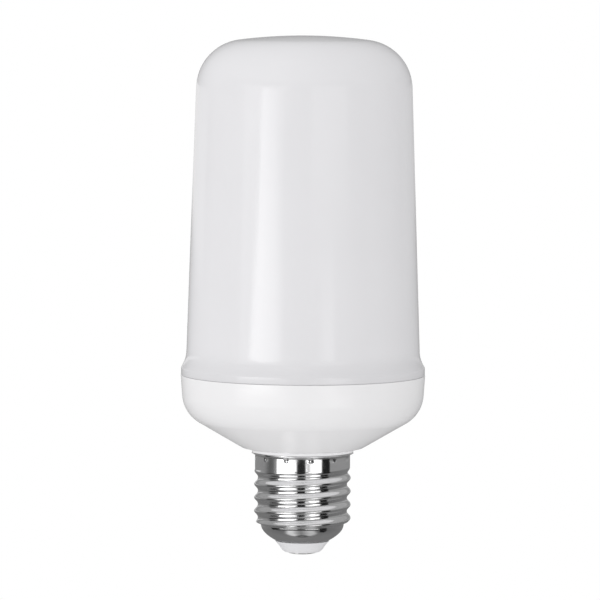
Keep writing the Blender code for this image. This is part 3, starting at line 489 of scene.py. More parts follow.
class Effects:
    """Builds each shared shader node group once."""

    SPECK_CORE = 0.4
    STREAK_STRETCH = 0.04

    def __init__(self) -> None:
        """Build all the groups."""
        self.groups = {
            Effect.GRAIN: self._grain(),
            Effect.SPECKS: self._specks(),
            Effect.STREAKS: self._streaks(),
        }

    @staticmethod
    def _start(effect: Effect, sizes: dict[str, float]) -> tuple[Graph, dict[str, Field]]:
        """Open a group with float inputs and a Vector input.

        Args:
            effect: Which effect the group makes.
            sizes: Default values by input name.

        Returns:
            The group's graph, and its inputs as fields by name.
        """
        tree = bpy.data.node_groups.new(effect.value, "ShaderNodeTree")
        tree.interface.new_socket("Vector", in_out="INPUT", socket_type="NodeSocketVector")
        for name, value in sizes.items():
            socket = tree.interface.new_socket(
                name, in_out="INPUT", socket_type="NodeSocketFloat"
            )
            socket.default_value = value
        graph = Graph(tree)
        entry = tree.nodes.new("NodeGroupInput")
        fields = {name: Field(graph, entry.outputs[name]) for name in ("Vector", *sizes)}
        return graph, fields

    @staticmethod
    def _end(graph: Graph, outputs: dict[str, Field]) -> bpy.types.NodeTree:
        """Close a group with float outputs.

        Args:
            graph: The group's graph.
            outputs: Fields by output name.

        Returns:
            The finished group.
        """
        for name in outputs:
            graph.tree.interface.new_socket(
                name, in_out="OUTPUT", socket_type="NodeSocketFloat"
            )
        graph.node("NodeGroupOutput", dict(outputs))
        return graph.tree

    def _grain(self) -> bpy.types.NodeTree:
        """Fine moulded grain as a height, and a slow mottle as a mask.

        Returns:
            The shared group.
        """
        sizes = {"Grain Scale": 2600.0, "Mottle Scale": 45.0}
        graph, given = self._start(Effect.GRAIN, sizes)
        fine = graph.field(
            "ShaderNodeTexNoise",
            {"Vector": given["Vector"], "Scale": given["Grain Scale"], "Detail": 3.0},
        )
        slow = graph.field(
            "ShaderNodeTexNoise",
            {"Vector": given["Vector"], "Scale": given["Mottle Scale"], "Detail": 2.0},
        )
        return self._end(graph, {"Height": fine, "Mottle": slow})

    def _specks(self) -> bpy.types.NodeTree:
        """A mask of sparse round specks of dust.

        Returns:
            The shared group.
        """
        sizes = {"Speck Scale": 260.0, "Speck Size": 0.06, "Share": 0.08}
        graph, given = self._start(Effect.SPECKS, sizes)
        cells = graph.node(
            "ShaderNodeTexVoronoi", {"Vector": given["Vector"], "Scale": given["Speck Scale"]}
        )
        distance = Field(graph, cells.outputs["Distance"])
        chance, _, _ = graph.axes(Field(graph, cells.outputs["Color"]))
        size = given["Speck Size"]
        dot = 1.0 - graph.ramp(distance, size * self.SPECK_CORE, size)
        kept = graph.math("LESS_THAN", chance, given["Share"])
        return self._end(graph, {"Mask": dot * kept})

    def _streaks(self) -> bpy.types.NodeTree:
        """Fine streaks that run round the axis, for drawn and plated metal.

        Returns:
            The shared group.
        """
        sizes = {"Streak Scale": 900.0, "Patch Scale": 160.0}
        graph, given = self._start(Effect.STREAKS, sizes)
        x, y, z = graph.axes(given["Vector"])
        stretched = graph.vector(x * self.STREAK_STRETCH, y * self.STREAK_STRETCH, z)
        streak = graph.field(
            "ShaderNodeTexNoise",
            {"Vector": stretched, "Scale": given["Streak Scale"], "Detail": 2.0},
        )
        patch = graph.field(
            "ShaderNodeTexNoise",
            {"Vector": given["Vector"], "Scale": given["Patch Scale"], "Detail": 4.0},
        )
        return self._end(graph, {"Streak": streak, "Patch": patch})

    def place(
        self, graph: Graph, effect: Effect, vector: Field, values: dict[str, float]
    ) -> bpy.types.Node:
        """Use a shared group inside a material.

        Args:
            graph: The material's graph.
            effect: Which group.
            vector: The coordinates that it reads.
            values: Values for some of its inputs.

        Returns:
            The group's node.
        """
        made = graph.node("ShaderNodeGroup", node_tree=self.groups[effect])
        graph.feed(made.inputs["Vector"], vector)
        for name, value in values.items():
            made.inputs[name].default_value = value
        return made


class Material:
    """A material under construction, round one Principled shader."""

    def __init__(self, name: str) -> None:
        """A new material with its object coordinates ready."""
        self.data = bpy.data.materials.new(name)
        self.data.use_nodes = True
        self.graph = Graph(self.data.node_tree)
        self.shader = self.data.node_tree.nodes["Principled BSDF"]
        self.place = self.graph.field("ShaderNodeTexCoord", output="Object")

    def set(self, **values: object) -> None:
        """Feed the shader's sockets.

        Args:
            **values: Values or fields by socket name, in lower case with underscores.
        """
        names = {item.name.lower().replace(" ", "_"): item.name for item in self.shader.inputs}
        for key, value in values.items():
            self.graph.feed(self.shader.inputs[names[key]], value)

    def mix(self, share: Field, low: Colour, high: Colour) -> Field:
        """A colour between two.

        Args:
            share: A share from 0 to 1.
            low: The colour at 0.
            high: The colour at 1.

        Returns:
            The mixed colour.
        """
        made = self.graph.node("ShaderNodeMix", data_type="RGBA")
        self.graph.feed(made.inputs[MIX_SHARE], share)
        made.inputs[MIX_LOW].default_value = (*low, 1.0)
        made.inputs[MIX_HIGH].default_value = (*high, 1.0)
        return Field(self.graph, made.outputs[MIX_RESULT])

    def bump(self, height: Field, distance: float) -> None:
        """Drive the shader's normal from a height."""
        inputs = {"Height": height, "Distance": distance, "Strength": 1.0}
        self.set(normal=self.graph.field("ShaderNodeBump", inputs))


def scaled(colour: Colour, share: float) -> Colour:
    """A colour made darker or lighter."""
    return tuple(min(part * share, 1.0) for part in colour)


@dataclass(frozen=True)
class MouldedPlastic:
    """Moulded plastic: grain, slow mottle, a little dust, and a band below a height with painted
    light and shade.
    """

    name: str
    colour: Colour
    roughness: float
    sheen_level: float = 0.3
    mottle: float = 0.012
    grain_depth: float = 0.000004
    grain_scale: float = 2600.0
    dust: float = 0.02
    # A band below a given height whose colour is scaled by a factor: painted shade where it is
    # below 1, painted light where it is above 1.
    painted_band_low: float = 0.0
    painted_band_high: float = 0.0
    painted_light_factor: float = 1.0
    mottle_low: float = 0.3
    mottle_high: float = 0.7
    mottle_roughness: float = 0.06
    speck_darkness: float = 2.0
    speck_roughness: float = 0.3
    speck_height: float = 2.0

    def make(self, effects: Effects) -> bpy.types.Material:
        """Build the material.

        Args:
            effects: The shared effects.

        Returns:
            The material.
        """
        made = Material(self.name)
        graph = made.graph
        grain = effects.place(
            graph, Effect.GRAIN, made.place, {"Grain Scale": self.grain_scale}
        )
        specks = effects.place(graph, Effect.SPECKS, made.place, {"Share": self.dust})
        mottle = Field(graph, grain.outputs["Mottle"])
        speck = Field(graph, specks.outputs["Mask"])
        colour = made.mix(
            graph.ramp(mottle - speck * self.speck_darkness, self.mottle_low, self.mottle_high),
            scaled(self.colour, 1.0 - self.mottle),
            scaled(self.colour, 1.0 + self.mottle),
        )
        # Painted light and shade: below a given height the colour is scaled by a factor that
        # stands in for less or more light falling there.
        if self.painted_band_high:
            _, _, level = graph.axes(made.place)
            above = graph.ramp(level, self.painted_band_low, self.painted_band_high)
            share = above * (1.0 - self.painted_light_factor) + self.painted_light_factor
            painted_light_tint = graph.vector(share, share, share)
            colour = graph.field(
                "ShaderNodeVectorMath", {0: colour, 1: painted_light_tint}, operation="MULTIPLY"
            )
        made.set(
            base_color=colour,
            roughness=self.roughness
            + (mottle - 0.5) * self.mottle_roughness
            + speck * self.speck_roughness,
            specular_ior_level=self.sheen_level,
        )
        height = Field(graph, grain.outputs["Height"])
        made.bump(height + speck * self.speck_height, self.grain_depth)
        return made.data


@dataclass(frozen=True)
class PlatedMetal:
    """Bright plated metal: fine streaks round the axis and soft patches."""

    name: str
    colour: Colour
    roughness: float
    tarnish: float = 0.10
    streak_depth: float = 0.000002
    crest_attribute: str = ""
    dull_low: float = 0.45
    dull_high: float = 0.75
    patch_low: float = 0.4
    patch_high: float = 0.8
    patch_shade: float = 0.9
    speck_scale: float = 700.0
    speck_share: float = 0.05
    speck_roughness: float = 0.25
    worn_crest: float = 0.85
    worn_low: float = 0.45
    worn_high: float = 0.7
    worn_roughness: float = 0.12

    def make(self, effects: Effects) -> bpy.types.Material:
        """Build the material.

        Args:
            effects: The shared effects.

        Returns:
            The material.
        """
        made = Material(self.name)
        graph = made.graph
        streaks = effects.place(graph, Effect.STREAKS, made.place, {})
        spots = {"Speck Scale": self.speck_scale, "Share": self.speck_share}
        specks = effects.place(graph, Effect.SPECKS, made.place, spots)
        streak = Field(graph, streaks.outputs["Streak"])
        patch = Field(graph, streaks.outputs["Patch"])
        speck = Field(graph, specks.outputs["Mask"])
        dulling = graph.ramp(patch, self.dull_low, self.dull_high) * self.tarnish
        roughness = self.roughness + dulling + speck * self.speck_roughness
        if self.crest_attribute:
            crest = graph.field(
                "ShaderNodeAttribute", output="Fac", attribute_name=self.crest_attribute
            )
            rubbed = graph.ramp(crest, self.worn_crest, 1.0)
            worn = rubbed * graph.ramp(streak, self.worn_low, self.worn_high)
            roughness = roughness + worn * self.worn_roughness
        patches = graph.ramp(patch, self.patch_low, self.patch_high)
        colour = made.mix(patches, self.colour, scaled(self.colour, self.patch_shade))
        made.set(base_color=colour, metallic=1.0, roughness=roughness)
        made.bump(streak + speck, self.streak_depth)
        return made.data


@dataclass(frozen=True)
class SolderMask:
    """Circuit board lacquer over copper tracks."""

    name: str
    lacquer: Colour
    track_share: float = 1.25
    track_scale: float = 420.0
    track_edge: float = 0.05
    track_face: float = 0.09
    track_depth: float = 0.00002
    grain_scale: float = 5000.0
    grain_share: float = 0.2
    roughness: float = 0.35
    mottle_roughness: float = 0.1
    gloss: float = 0.3

    def make(self, effects: Effects) -> bpy.types.Material:
        """Build the material.

        Args:
            effects: The shared effects.

        Returns:
            The material.
        """
        made = Material(self.name)
        graph = made.graph
        grain = effects.place(
            graph, Effect.GRAIN, made.place, {"Grain Scale": self.grain_scale}
        )
        cells = graph.field(
            "ShaderNodeTexVoronoi",
            {"Vector": made.place, "Scale": self.track_scale},
            feature="DISTANCE_TO_EDGE",
        )
        track = graph.ramp(cells, self.track_edge, self.track_face)
        mottle = Field(graph, grain.outputs["Mottle"])
        height = Field(graph, grain.outputs["Height"])
        made.set(
            base_color=made.mix(track, self.lacquer, scaled(self.lacquer, self.track_share)),
            roughness=self.roughness + mottle * self.mottle_roughness,
            coat_weight=self.gloss,
        )
        made.bump(track + height * self.grain_share, self.track_depth)
        return made.data


class Finishes:
    """Every finish of the lamp, made once."""

    # Heights of the painted shade on the cover's lip, which gets less light than the wall above.
    PAINTED_LIP_SHADE_LEVELS = {"painted_band_low": 0.0515, "painted_band_high": 0.0560}
    # Heights of the painted light on the housing's collar, which lies in shade under the bowl's
    # overhang.
    PAINTED_COLLAR_LIGHT_LEVELS = {"painted_band_low": 0.0284, "painted_band_high": 0.0289}

    def __init__(self) -> None:
        """Build the effects and the materials."""
        effects = Effects()
        wanted = (
            MouldedPlastic(
                "opal cover", (0.777, 0.772, 0.790), 0.11, mottle=0.006,
                # Painted shade: the lip is darkened because it gets less light than the wall
                # above.
                painted_light_factor=0.93, **self.PAINTED_LIP_SHADE_LEVELS,
            ),
            MouldedPlastic(
                "housing white", (0.856, 0.851, 0.861), 0.18, 0.24, mottle=0.006,
                # Painted light: the collar is lightened to make up for the shade under the
                # bowl's overhang.
                painted_light_factor=1.13, **self.PAINTED_COLLAR_LIGHT_LEVELS,
            ),
            MouldedPlastic("insulator white", (0.775, 0.773, 0.79), 0.38, mottle=0.015),
            MouldedPlastic("carrier white", (0.78, 0.78, 0.77), 0.45, mottle=0.02),
            MouldedPlastic("moulded package", (0.022, 0.022, 0.025), 0.5, grain_depth=0.00001),
            MouldedPlastic("capacitor sleeve", (0.02, 0.035, 0.09), 0.28, 0.5),
            MouldedPlastic("ferrite", (0.045, 0.045, 0.05), 0.6, grain_depth=0.00002),
            MouldedPlastic("resistor coat", (0.12, 0.33, 0.42), 0.42, mottle=0.05),
            MouldedPlastic("red wire", (0.55, 0.02, 0.02), 0.4, mottle=0.03),
            MouldedPlastic("black wire", (0.02, 0.02, 0.02), 0.4, mottle=0.03),
            MouldedPlastic("phosphor", (0.85, 0.62, 0.12), 0.55, grain_depth=0.00002),
            PlatedMetal("bright nickel", (0.90, 0.90, 0.905), 0.10, crest_attribute=CREST),
            PlatedMetal("tinned contact", (0.74, 0.74, 0.73), 0.28, 0.2),
            PlatedMetal("zinc plated steel", (0.60, 0.61, 0.62), 0.28, 0.2),
            PlatedMetal("enamelled copper", (0.62, 0.26, 0.10), 0.25, 0.1),
            SolderMask("white solder mask", (0.80, 0.79, 0.74), 0.96),
            SolderMask("green solder mask", (0.06, 0.20, 0.08), 1.5),
        )
        self.by_name = {item.name: item.make(effects) for item in wanted}

    def __getitem__(self, name: str) -> bpy.types.Material:
        """A finish by its name."""
        return self.by_name[name]


@dataclass
class ScrewShell:
    """The pressed nickel shell: rounded heel, right-hand knuckle thread, band, dents, rim."""

    mouth_height: float = 0.0039
    mouth_radius: float = 0.0076
    heel_height: float = 0.0041
    heel_radius: float = 0.0112
    pitch: float = 0.0254 / 7
    thread_turns: float = 4.225
    thread_radius: float = 0.01305
    thread_depth: float = 0.0010
    start_turn: float = 0.505
    crest_sharpness: float = 1.35
    lead_in_turns: float = 0.25
    run_out_turns: float = 0.45
    band_set_in: float = 0.0002
    band_height: float = 0.0035
    rim_height: float = 0.00055
    rim_flare: float = 0.0009
    wall: float = 0.00035
    dent_count: int = 12
    dent_depth: float = 0.00023
    dent_radius: float = 0.00078
    dent_flat: float = 0.2
    dent_drop: float = 0.00105
    dent_turn: float = radians(10)
    crowding: float = 0.6
    sharp: float = radians(50)
    columns: int = 168
    rows: int = 190
    heel_share: float = 0.13
    thread_share: float = 0.60

    @property
    def heel_top(self) -> float:
        """Where the thread begins."""
        return self.mouth_height + self.heel_height

    @property
    def thread_top(self) -> float:
        """Where the plain band begins."""
        return self.heel_top + self.thread_turns * self.pitch

    @property
    def rim_top(self) -> float:
        """The outer edge of the flared rim."""
        return self.thread_top + self.band_height + self.rim_height

    def build(self, finish: bpy.types.Material) -> bpy.types.Object:
        """Roll and press a flat grid into the shell.

        Args:
            finish: The plated metal.

        Returns:
            The shell with its wall.
        """
        recipe = Recipe("pressed shell")
        graph = recipe.graph
        columns = recipe.count("Columns", self.columns + 1)
        rows = recipe.count("Rows", self.rows + 1)
        low = recipe.length("Mouth Level", self.mouth_height)
        high = recipe.length("Rim Level", self.rim_top)
        heel_height = recipe.length("Heel Height", self.heel_height)
        heel_radius = recipe.length("Heel Radius", self.heel_radius)
        band_height = recipe.length("Band Height", self.band_height)
        rim_height = recipe.length("Rim Height", self.rim_height)
        pitch = recipe.length("Thread Pitch", self.pitch)
        thread_radius = recipe.length("Thread Radius", self.thread_radius)
        thread_depth = recipe.length("Thread Depth", self.thread_depth)
        mouth_radius = recipe.length("Mouth Radius", self.mouth_radius)
        dents = recipe.length("Dents", self.dent_count)
        heel_top = low + heel_height
        rim_low = high - rim_height
        thread_top = rim_low - band_height

        sheet = graph.field(
            "GeometryNodeMeshGrid",
            {"Size X": 1.0, "Size Y": 1.0, "Vertices X": columns, "Vertices Y": rows},
            "Mesh",
        )
        across, along, _ = graph.axes(graph.field("GeometryNodeInputPosition"))
        even = (across + 0.5) * (2 * pi)
        angle = even - graph.math("SINE", (even - self.dent_turn) * dents) * (
            self.crowding / self.dent_count
        )
        share = along + 0.5
        band_start = self.heel_share + self.thread_share
        height = (
            low
            + heel_height * graph.ramp(share, 0.0, self.heel_share, False)
            + (thread_top - heel_top) * graph.ramp(share, self.heel_share, band_start, False)
            + (high - thread_top) * graph.ramp(share, band_start, 1.0, False)
        )

        drop = graph.ramp(heel_top - height, 0.0, heel_height, False)
        heel = mouth_radius + (heel_radius - mouth_radius) * (1.0 - drop * drop)
        turns = (height - heel_top) / pitch - angle / (2 * pi) - self.start_turn
        wave = 0.5 + 0.5 * graph.math("COSINE", turns * (2 * pi))
        crest = graph.math("POWER", wave, self.crest_sharpness)
        lead_in = graph.ramp(height, heel_top, heel_top + pitch * self.lead_in_turns)
        run_out = pitch * self.run_out_turns
        band = graph.ramp(height, thread_top - run_out, thread_top + SEAT)
        root = heel + (thread_radius - thread_depth - heel_radius) * lead_in
        thread = crest * lead_in * (1.0 - band)
        lift = thread_depth * thread + (thread_depth - self.band_set_in) * band
        lip = graph.ramp(height, rim_low, high, False)
        flare = lip * lip * self.rim_flare

        round_way = graph.math("SINE", (angle - self.dent_turn) * dents * 0.5)
        sideways = round_way * (2.0 * self.thread_radius) / dents
        upwards = height - (high - self.dent_drop)
        reach = graph.math("SQRT", sideways * sideways + upwards * upwards)
        pressed = 1.0 - graph.ramp(reach, self.dent_radius * self.dent_flat, self.dent_radius)

        radius = root + lift + flare - pressed * self.dent_depth
        place = graph.vector(
            radius * graph.math("COSINE", angle), radius * graph.math("SINE", angle), height
        )
        marked = graph.field(
            "GeometryNodeStoreNamedAttribute",
            {"Geometry": sheet, "Name": CREST, "Value": thread},
            data_type="FLOAT",
            domain="POINT",
        )
        rolled = graph.field("GeometryNodeSetPosition", {"Geometry": marked, "Position": place})
        closed = graph.field(
            "GeometryNodeMergeByDistance", {"Geometry": rolled, "Distance": MERGE}
        )
        recipe.finish(closed)
        piece = recipe.run("screw_shell", finish, self.wall)
        shade(piece.data, self.sharp)
        return piece

    def dress(self, finishes: Finishes) -> None:
        """Put the shell in its nickel."""
        hand_over(self.build(finishes["bright nickel"]), "nickel_shell", "cap_shell")


@dataclass
class CapNose:
    """The moulded insulator in the shell's mouth, and the contact nail through it."""

    face_height: float = 0.0006
    face_radius: float = 0.0048
    edge_radius: float = 0.0056
    edge_height: float = 0.0013
    waist_radius: float = 0.0063
    waist_height: float = 0.0024
    nose_radius: float = 0.0074
    soft_round: float = 0.0012
    contact_radius: float = 0.0038
    contact_flat: float = 0.0017
    contact_edge: float = 0.0003
    contact_head: float = 0.0007
    shank_radius: float = 0.0009
    neck_radius: float = 0.0063
    neck_rise: float = 0.0006
    flange_rise: float = 0.0010
    flange_share: float = 0.97
    face_round: float = 0.0004
    edge_round: float = 0.0001

    def insulator(self, finish: bpy.types.Material) -> bpy.types.Object:
        """The moulded nose with its neck in the shell's mouth.

        Args:
            finish: Its plastic.

        Returns:
            The nose.
        """
        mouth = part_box("cap_shell")[0].z
        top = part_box("cap_insulator")[1].z
        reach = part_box("cap_insulator")[1].x * self.flange_share
        hole = self.shank_radius + SEAT
        recess = self.contact_head + SEAT
        nose_top = mouth - SEAT
        outline = rounded(
            [
                Corner(hole, recess),
                Corner(self.contact_radius + SEAT, recess),
                Corner(self.contact_radius + SEAT, self.face_height, self.edge_round),
                Corner(self.face_radius, self.face_height, self.face_round),
                Corner(self.edge_radius, self.edge_height, self.soft_round),
                Corner(self.waist_radius, self.waist_height, self.soft_round),
                Corner(self.nose_radius, nose_top, self.edge_round),
                Corner(self.neck_radius, nose_top),
                Corner(self.neck_radius, mouth + self.neck_rise),
                Corner(reach, mouth + self.flange_rise),
                Corner(reach, top),
                Corner(hole, top),
            ]
        )
        return new_object("cap_nose", turned(outline, NOSE_SEGMENTS), finish)

    def contact(self, finish: bpy.types.Material) -> bpy.types.Object:
        """The contact nail: a domed head with a flat, on a shank.

        Args:
            finish: Its metal.

        Returns:
            The nail.
        """
        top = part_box("centre_contact")[1].z
        outline = [
            (0.0, 0.0),
            (self.contact_flat, 0.0),
            ((self.contact_flat + self.contact_radius) / 2, self.contact_edge / 3),
            (self.contact_radius - self.edge_round, self.contact_edge),
            (self.contact_radius, self.contact_edge + self.edge_round),
            (self.contact_radius, self.contact_head),
            (self.shank_radius, self.contact_head),
            (self.shank_radius, top),
            (0.0, top),
        ]
        return new_object("contact_nail", turned(outline, NOSE_SEGMENTS), finish)

    def dress(self, finishes: Finishes) -> None:
        """Put both pieces in place."""
        hand_over(
            self.insulator(finishes["insulator white"]), "insulator_white", "cap_insulator"
        )
        hand_over(self.contact(finishes["tinned contact"]), "contact_metal", "centre_contact")


@dataclass
class Housing:
    """The white bowl between cap and cover, with its neck, posts, ribs and board slots."""

    wall: float = 0.0016
    cone_angle: float = radians(30.3)
    cone_round: float = 0.0015
    collar_radius: float = 0.01375
    collar_foot: float = 0.00275
    collar_gap: float = 0.0001
    collar_height: float = 0.00035
    collar_rise: float = 0.00065
    collar_round: float = 0.00025
    bowl_round: float = 0.0090
    draft: float = radians(4.0)
    edge_round: float = 0.00018
    neck_wall: float = 0.0025
    groove_depth: float = 0.00045
    groove_half: float = 0.0007
    spigot_depth: float = 0.0031
    post_radius: float = 0.0029
    post_turn: float = radians(30)
    post_count: int = 3
    hole_radius: float = 0.0013
    hole_depth: float = 0.0073
    rib_thickness: float = 0.0012
    rib_drop: float = 0.0030
    slot_depth: float = 0.0009
    slot_width: float = 0.0018
    slot_floor: float = 0.0016
    over_cut: float = 0.002

    def __post_init__(self) -> None:
        """Read the levels and the rim from the frame."""
        low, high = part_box("housing")
        self.low, self.seam, self.rim = low.z, high.z, high.x
        shell = ScrewShell()
        self.collar_low = shell.rim_top + shell.wall + self.collar_gap
        self.dent_level = shell.rim_top - shell.dent_drop
        self.step = shell.thread_top + SEAT
        self.neck_radius = shell.thread_radius - shell.band_set_in - shell.wall - SEAT
        self.skirt_radius = shell.thread_radius - shell.thread_depth - shell.wall - SEAT
        self.neck_bore = self.skirt_radius - self.neck_wall
        self.collar_top = shell.rim_top + shell.wall + SEAT + self.collar_height
        self.cone_start = self.collar_top + self.collar_rise
        self.floor = self.cone_start + self.wall
        self.post_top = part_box("control_board")[0].z - SEAT
        screw_low, screw_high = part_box("core_screw_1")
        middle = (screw_low + screw_high) / 2
        self.post_circle = sqrt(middle.x**2 + middle.y**2)

    def corner(self, inset: float) -> tuple[float, float]:
        """Where the leaning side meets the cone, on a face this far inside the outer one.

        Args:
            inset: Distance inside the outer face.

        Returns:
            The corner's radius and height.
        """
        side = self.rim - inset / cos(self.draft)
        low = self.cone_start + inset / cos(self.cone_angle)
        lean, rise = tan(self.draft), tan(self.cone_angle)
        foot = self.collar_radius + self.collar_foot
        height = (low + (side - self.seam * lean - foot) * rise) / (1.0 - lean * rise)
        return side - (self.seam - height) * lean, height

    def outer(self) -> list[Point]:
        """Outline of the solid before it is hollowed.

        Returns:
            Points of (radius, height).
        """
        foot = self.collar_radius + self.collar_foot
        groove = self.dent_level
        inset = self.neck_radius - self.groove_depth
        return rounded(
            [
                Corner(0.0, self.low),
                Corner(self.skirt_radius, self.low, self.collar_round),
                Corner(self.skirt_radius, self.step),
                Corner(self.neck_radius, self.step + self.neck_radius - self.skirt_radius),
                Corner(self.neck_radius, groove - self.groove_half),
                Corner(inset, groove - self.groove_half / 3),
                Corner(inset, groove + self.groove_half / 3),
                Corner(self.neck_radius, groove + self.groove_half),
                Corner(self.neck_radius, self.collar_low),
                Corner(self.collar_radius, self.collar_low),
                Corner(self.collar_radius, self.collar_top, self.collar_round),
                Corner(foot, self.cone_start, self.cone_round),
                Corner(*self.corner(0.0), self.bowl_round),
                Corner(self.rim, self.seam, self.edge_round),
                Corner(0.0, self.seam),
            ]
        )

    def hollow(self) -> list[Point]:
        """Outline of what is cut out of it.

        Returns:
            Points of (radius, height).
        """
        foot = self.collar_radius + self.collar_foot
        lift = self.wall / cos(self.cone_angle)
        bore = self.rim - self.wall
        floor_radius = foot + (self.floor - lift - self.cone_start) / tan(self.cone_angle)
        return rounded(
            [
                Corner(0.0, self.low - self.over_cut),
                Corner(self.neck_bore, self.low - self.over_cut),
                Corner(self.neck_bore, self.floor),
                Corner(floor_radius, self.floor),
                Corner(*self.corner(self.wall), self.bowl_round - self.wall),
                Corner(bore, self.seam - self.spigot_depth),
                Corner(bore, self.seam + self.over_cut),
                Corner(0.0, self.seam + self.over_cut),
            ]
        )

    def post(self) -> list[Point]:
        """Outline of a screw post with its blind hole.

        Returns:
            Points of (distance from its middle, height).
        """
        return [
            (0.0, self.cone_start),
            (self.post_radius, self.cone_start),
            (self.post_radius, self.post_top),
            (self.hole_radius, self.post_top),
            (self.hole_radius, self.post_top - self.hole_depth),
            (0.0, self.post_top - self.hole_depth),
        ]

    def post_angles(self) -> Iterator[float]:
        """The angle of each post."""
        for index in range(self.post_count):
            yield self.post_turn + index * 2 * pi / self.post_count

    def stand_offs(self) -> list[bpy.types.Object]:
        """The ribs and posts, as forms that are kept out of the hollow.

        Returns:
            The forms as loose objects.
        """
        start = self.post_circle + (self.hole_radius + self.post_radius) / 2
        length = self.rim - start
        high = self.post_top - self.rib_drop
        forms = []
        for angle in self.post_angles():
            rib = block(
                (length, self.rib_thickness, high - self.cone_start),
                (start + length / 2, 0.0, (high + self.cone_start) / 2),
            )
            turn = Matrix.Rotation(angle, 3, "Z")
            bmesh.ops.rotate(rib, verts=rib.verts, cent=(0, 0, 0), matrix=turn)
            forms.append(new_object("rib_form", rib))
        for angle in self.post_angles():
            post = turned(self.post(), SMALL_SEGMENTS, pi / SMALL_SEGMENTS)
            place = (self.post_circle * cos(angle), self.post_circle * sin(angle), 0.0)
            bmesh.ops.translate(post, verts=post.verts, vec=place)
            forms.append(new_object("post_form", post))
        return forms

    def build(self, finish: bpy.types.Material) -> bpy.types.Object:
        """Turn the outside, hollow it round the posts and ribs, and cut the board's slots.

        Args:
            finish: The white plastic.

        Returns:
            The bowl.
        """
        piece = new_object("bowl", turned(self.outer(), WIDE_SEGMENTS), finish)
        inside = new_object("bowl_hollow", turned(self.hollow(), WIDE_SEGMENTS))
        subtract(inside, self.stand_offs())
        reach = self.neck_bore + self.slot_depth
        top = self.floor + self.over_cut
        bottom = self.low + self.slot_floor
        slot = block(
            (2 * reach, self.slot_width, top - bottom), (0.0, 0.0, (top + bottom) / 2)
        )
        subtract(piece, [inside, new_object("board_slot", slot)])
        shade(piece.data)
        return piece

    def dress(self, finishes: Finishes) -> None:
        """Put the bowl in its white plastic."""
        hand_over(self.build(finishes["housing white"]), "housing_white", "housing")


@dataclass
class Cover:
    """The opal cover: tapered side, rounded corner, shallow crown, flared skirt and spigot."""

    lip_set_in: float = 0.0001
    seam_gap: float = 0.00006
    lip_height: float = 0.00198
    lip_round: float = 0.0006
    edge_round: float = 0.00015
    shoulder: float = 0.00135
    shoulder_rise: float = 0.0021
    shoulder_round: float = 0.0080
    side_taper: float = radians(1.9)
    corner_round: float = 0.0133
    crown_radius: float = 0.135
    wall: float = 0.0015

    def __post_init__(self) -> None:
        """Read the levels from the frame."""
        low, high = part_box("diffuser")
        self.spigot_low, self.apex = low.z, high.z
        self.lip_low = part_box("housing")[1].z + self.seam_gap
        self.lip_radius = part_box("housing")[1].x - self.lip_set_in
        self.spigot_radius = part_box("housing")[1].x - Housing.wall - SEAT
        self.side_radius = self.lip_radius - self.shoulder
        self.shoulder_top = self.lip_low + self.lip_height + self.shoulder_rise

    def crown(self, side: Point, inset: float) -> list[Point]:
        """The side's top: a corner arc that runs into the crown on the axis.

        Args:
            side: A point of the tapered side, as (radius, height).
            inset: How far this face lies inside the outer one.

        Returns:
            Points from the side up to the axis.
        """
        crown_radius = self.crown_radius - inset
        corner_radius = self.corner_round - inset
        apex = self.apex - inset
        sphere = Vector((0.0, apex - crown_radius))
        along = Vector((-sin(self.side_taper), cos(self.side_taper)))
        inward = Vector((-cos(self.side_taper), -sin(self.side_taper)))
        start = Vector(side) + inward * corner_radius - sphere
        reach = start.dot(along)
        distance = crown_radius - corner_radius
        run = -reach + sqrt(reach**2 - start.length_squared + distance**2)
        centre = Vector(side) + inward * corner_radius + along * run
        tilt = atan2(centre.y - sphere.y, centre.x)
        corner = arc(tuple(centre), corner_radius, self.side_taper, tilt)
        top = arc(tuple(sphere), crown_radius, tilt, pi / 2)
        return corner + top[1:-1] + [(0.0, apex)]

    def build(self, finish: bpy.types.Material) -> bpy.types.Object:
        """Turn the cover's section.

        Args:
            finish: The opal plastic.

        Returns:
            The cover.
        """
        side_high = self.shoulder_top + self.shoulder_round
        side_top = self.side_radius - (side_high - self.shoulder_top) * tan(self.side_taper)
        bore = self.side_radius - self.wall
        skirt = rounded(
            [
                Corner(self.spigot_radius, self.spigot_low, self.edge_round),
                Corner(self.spigot_radius, self.lip_low),
                Corner(self.lip_radius, self.lip_low, self.edge_round),
                Corner(self.lip_radius, self.lip_low + self.lip_height, self.lip_round),
                Corner(self.side_radius, self.shoulder_top, self.shoulder_round),
                Corner(side_top, side_high),
                Corner(bore, self.spigot_low),
            ]
        )
        outer = self.crown((self.side_radius, self.shoulder_top), 0.0)
        inner = self.crown((bore, self.shoulder_top), self.wall)
        foot = [(bore, self.shoulder_top), (bore, self.spigot_low)]
        outline = inner[::-1] + foot + skirt[:-2] + outer
        return new_object("opal_cover", turned(outline, WIDE_SEGMENTS), finish)

    def dress(self, finishes: Finishes) -> None:
        """Put the cover in its opal plastic."""
        hand_over(self.build(finishes["opal cover"]), "opal_cover", "diffuser")


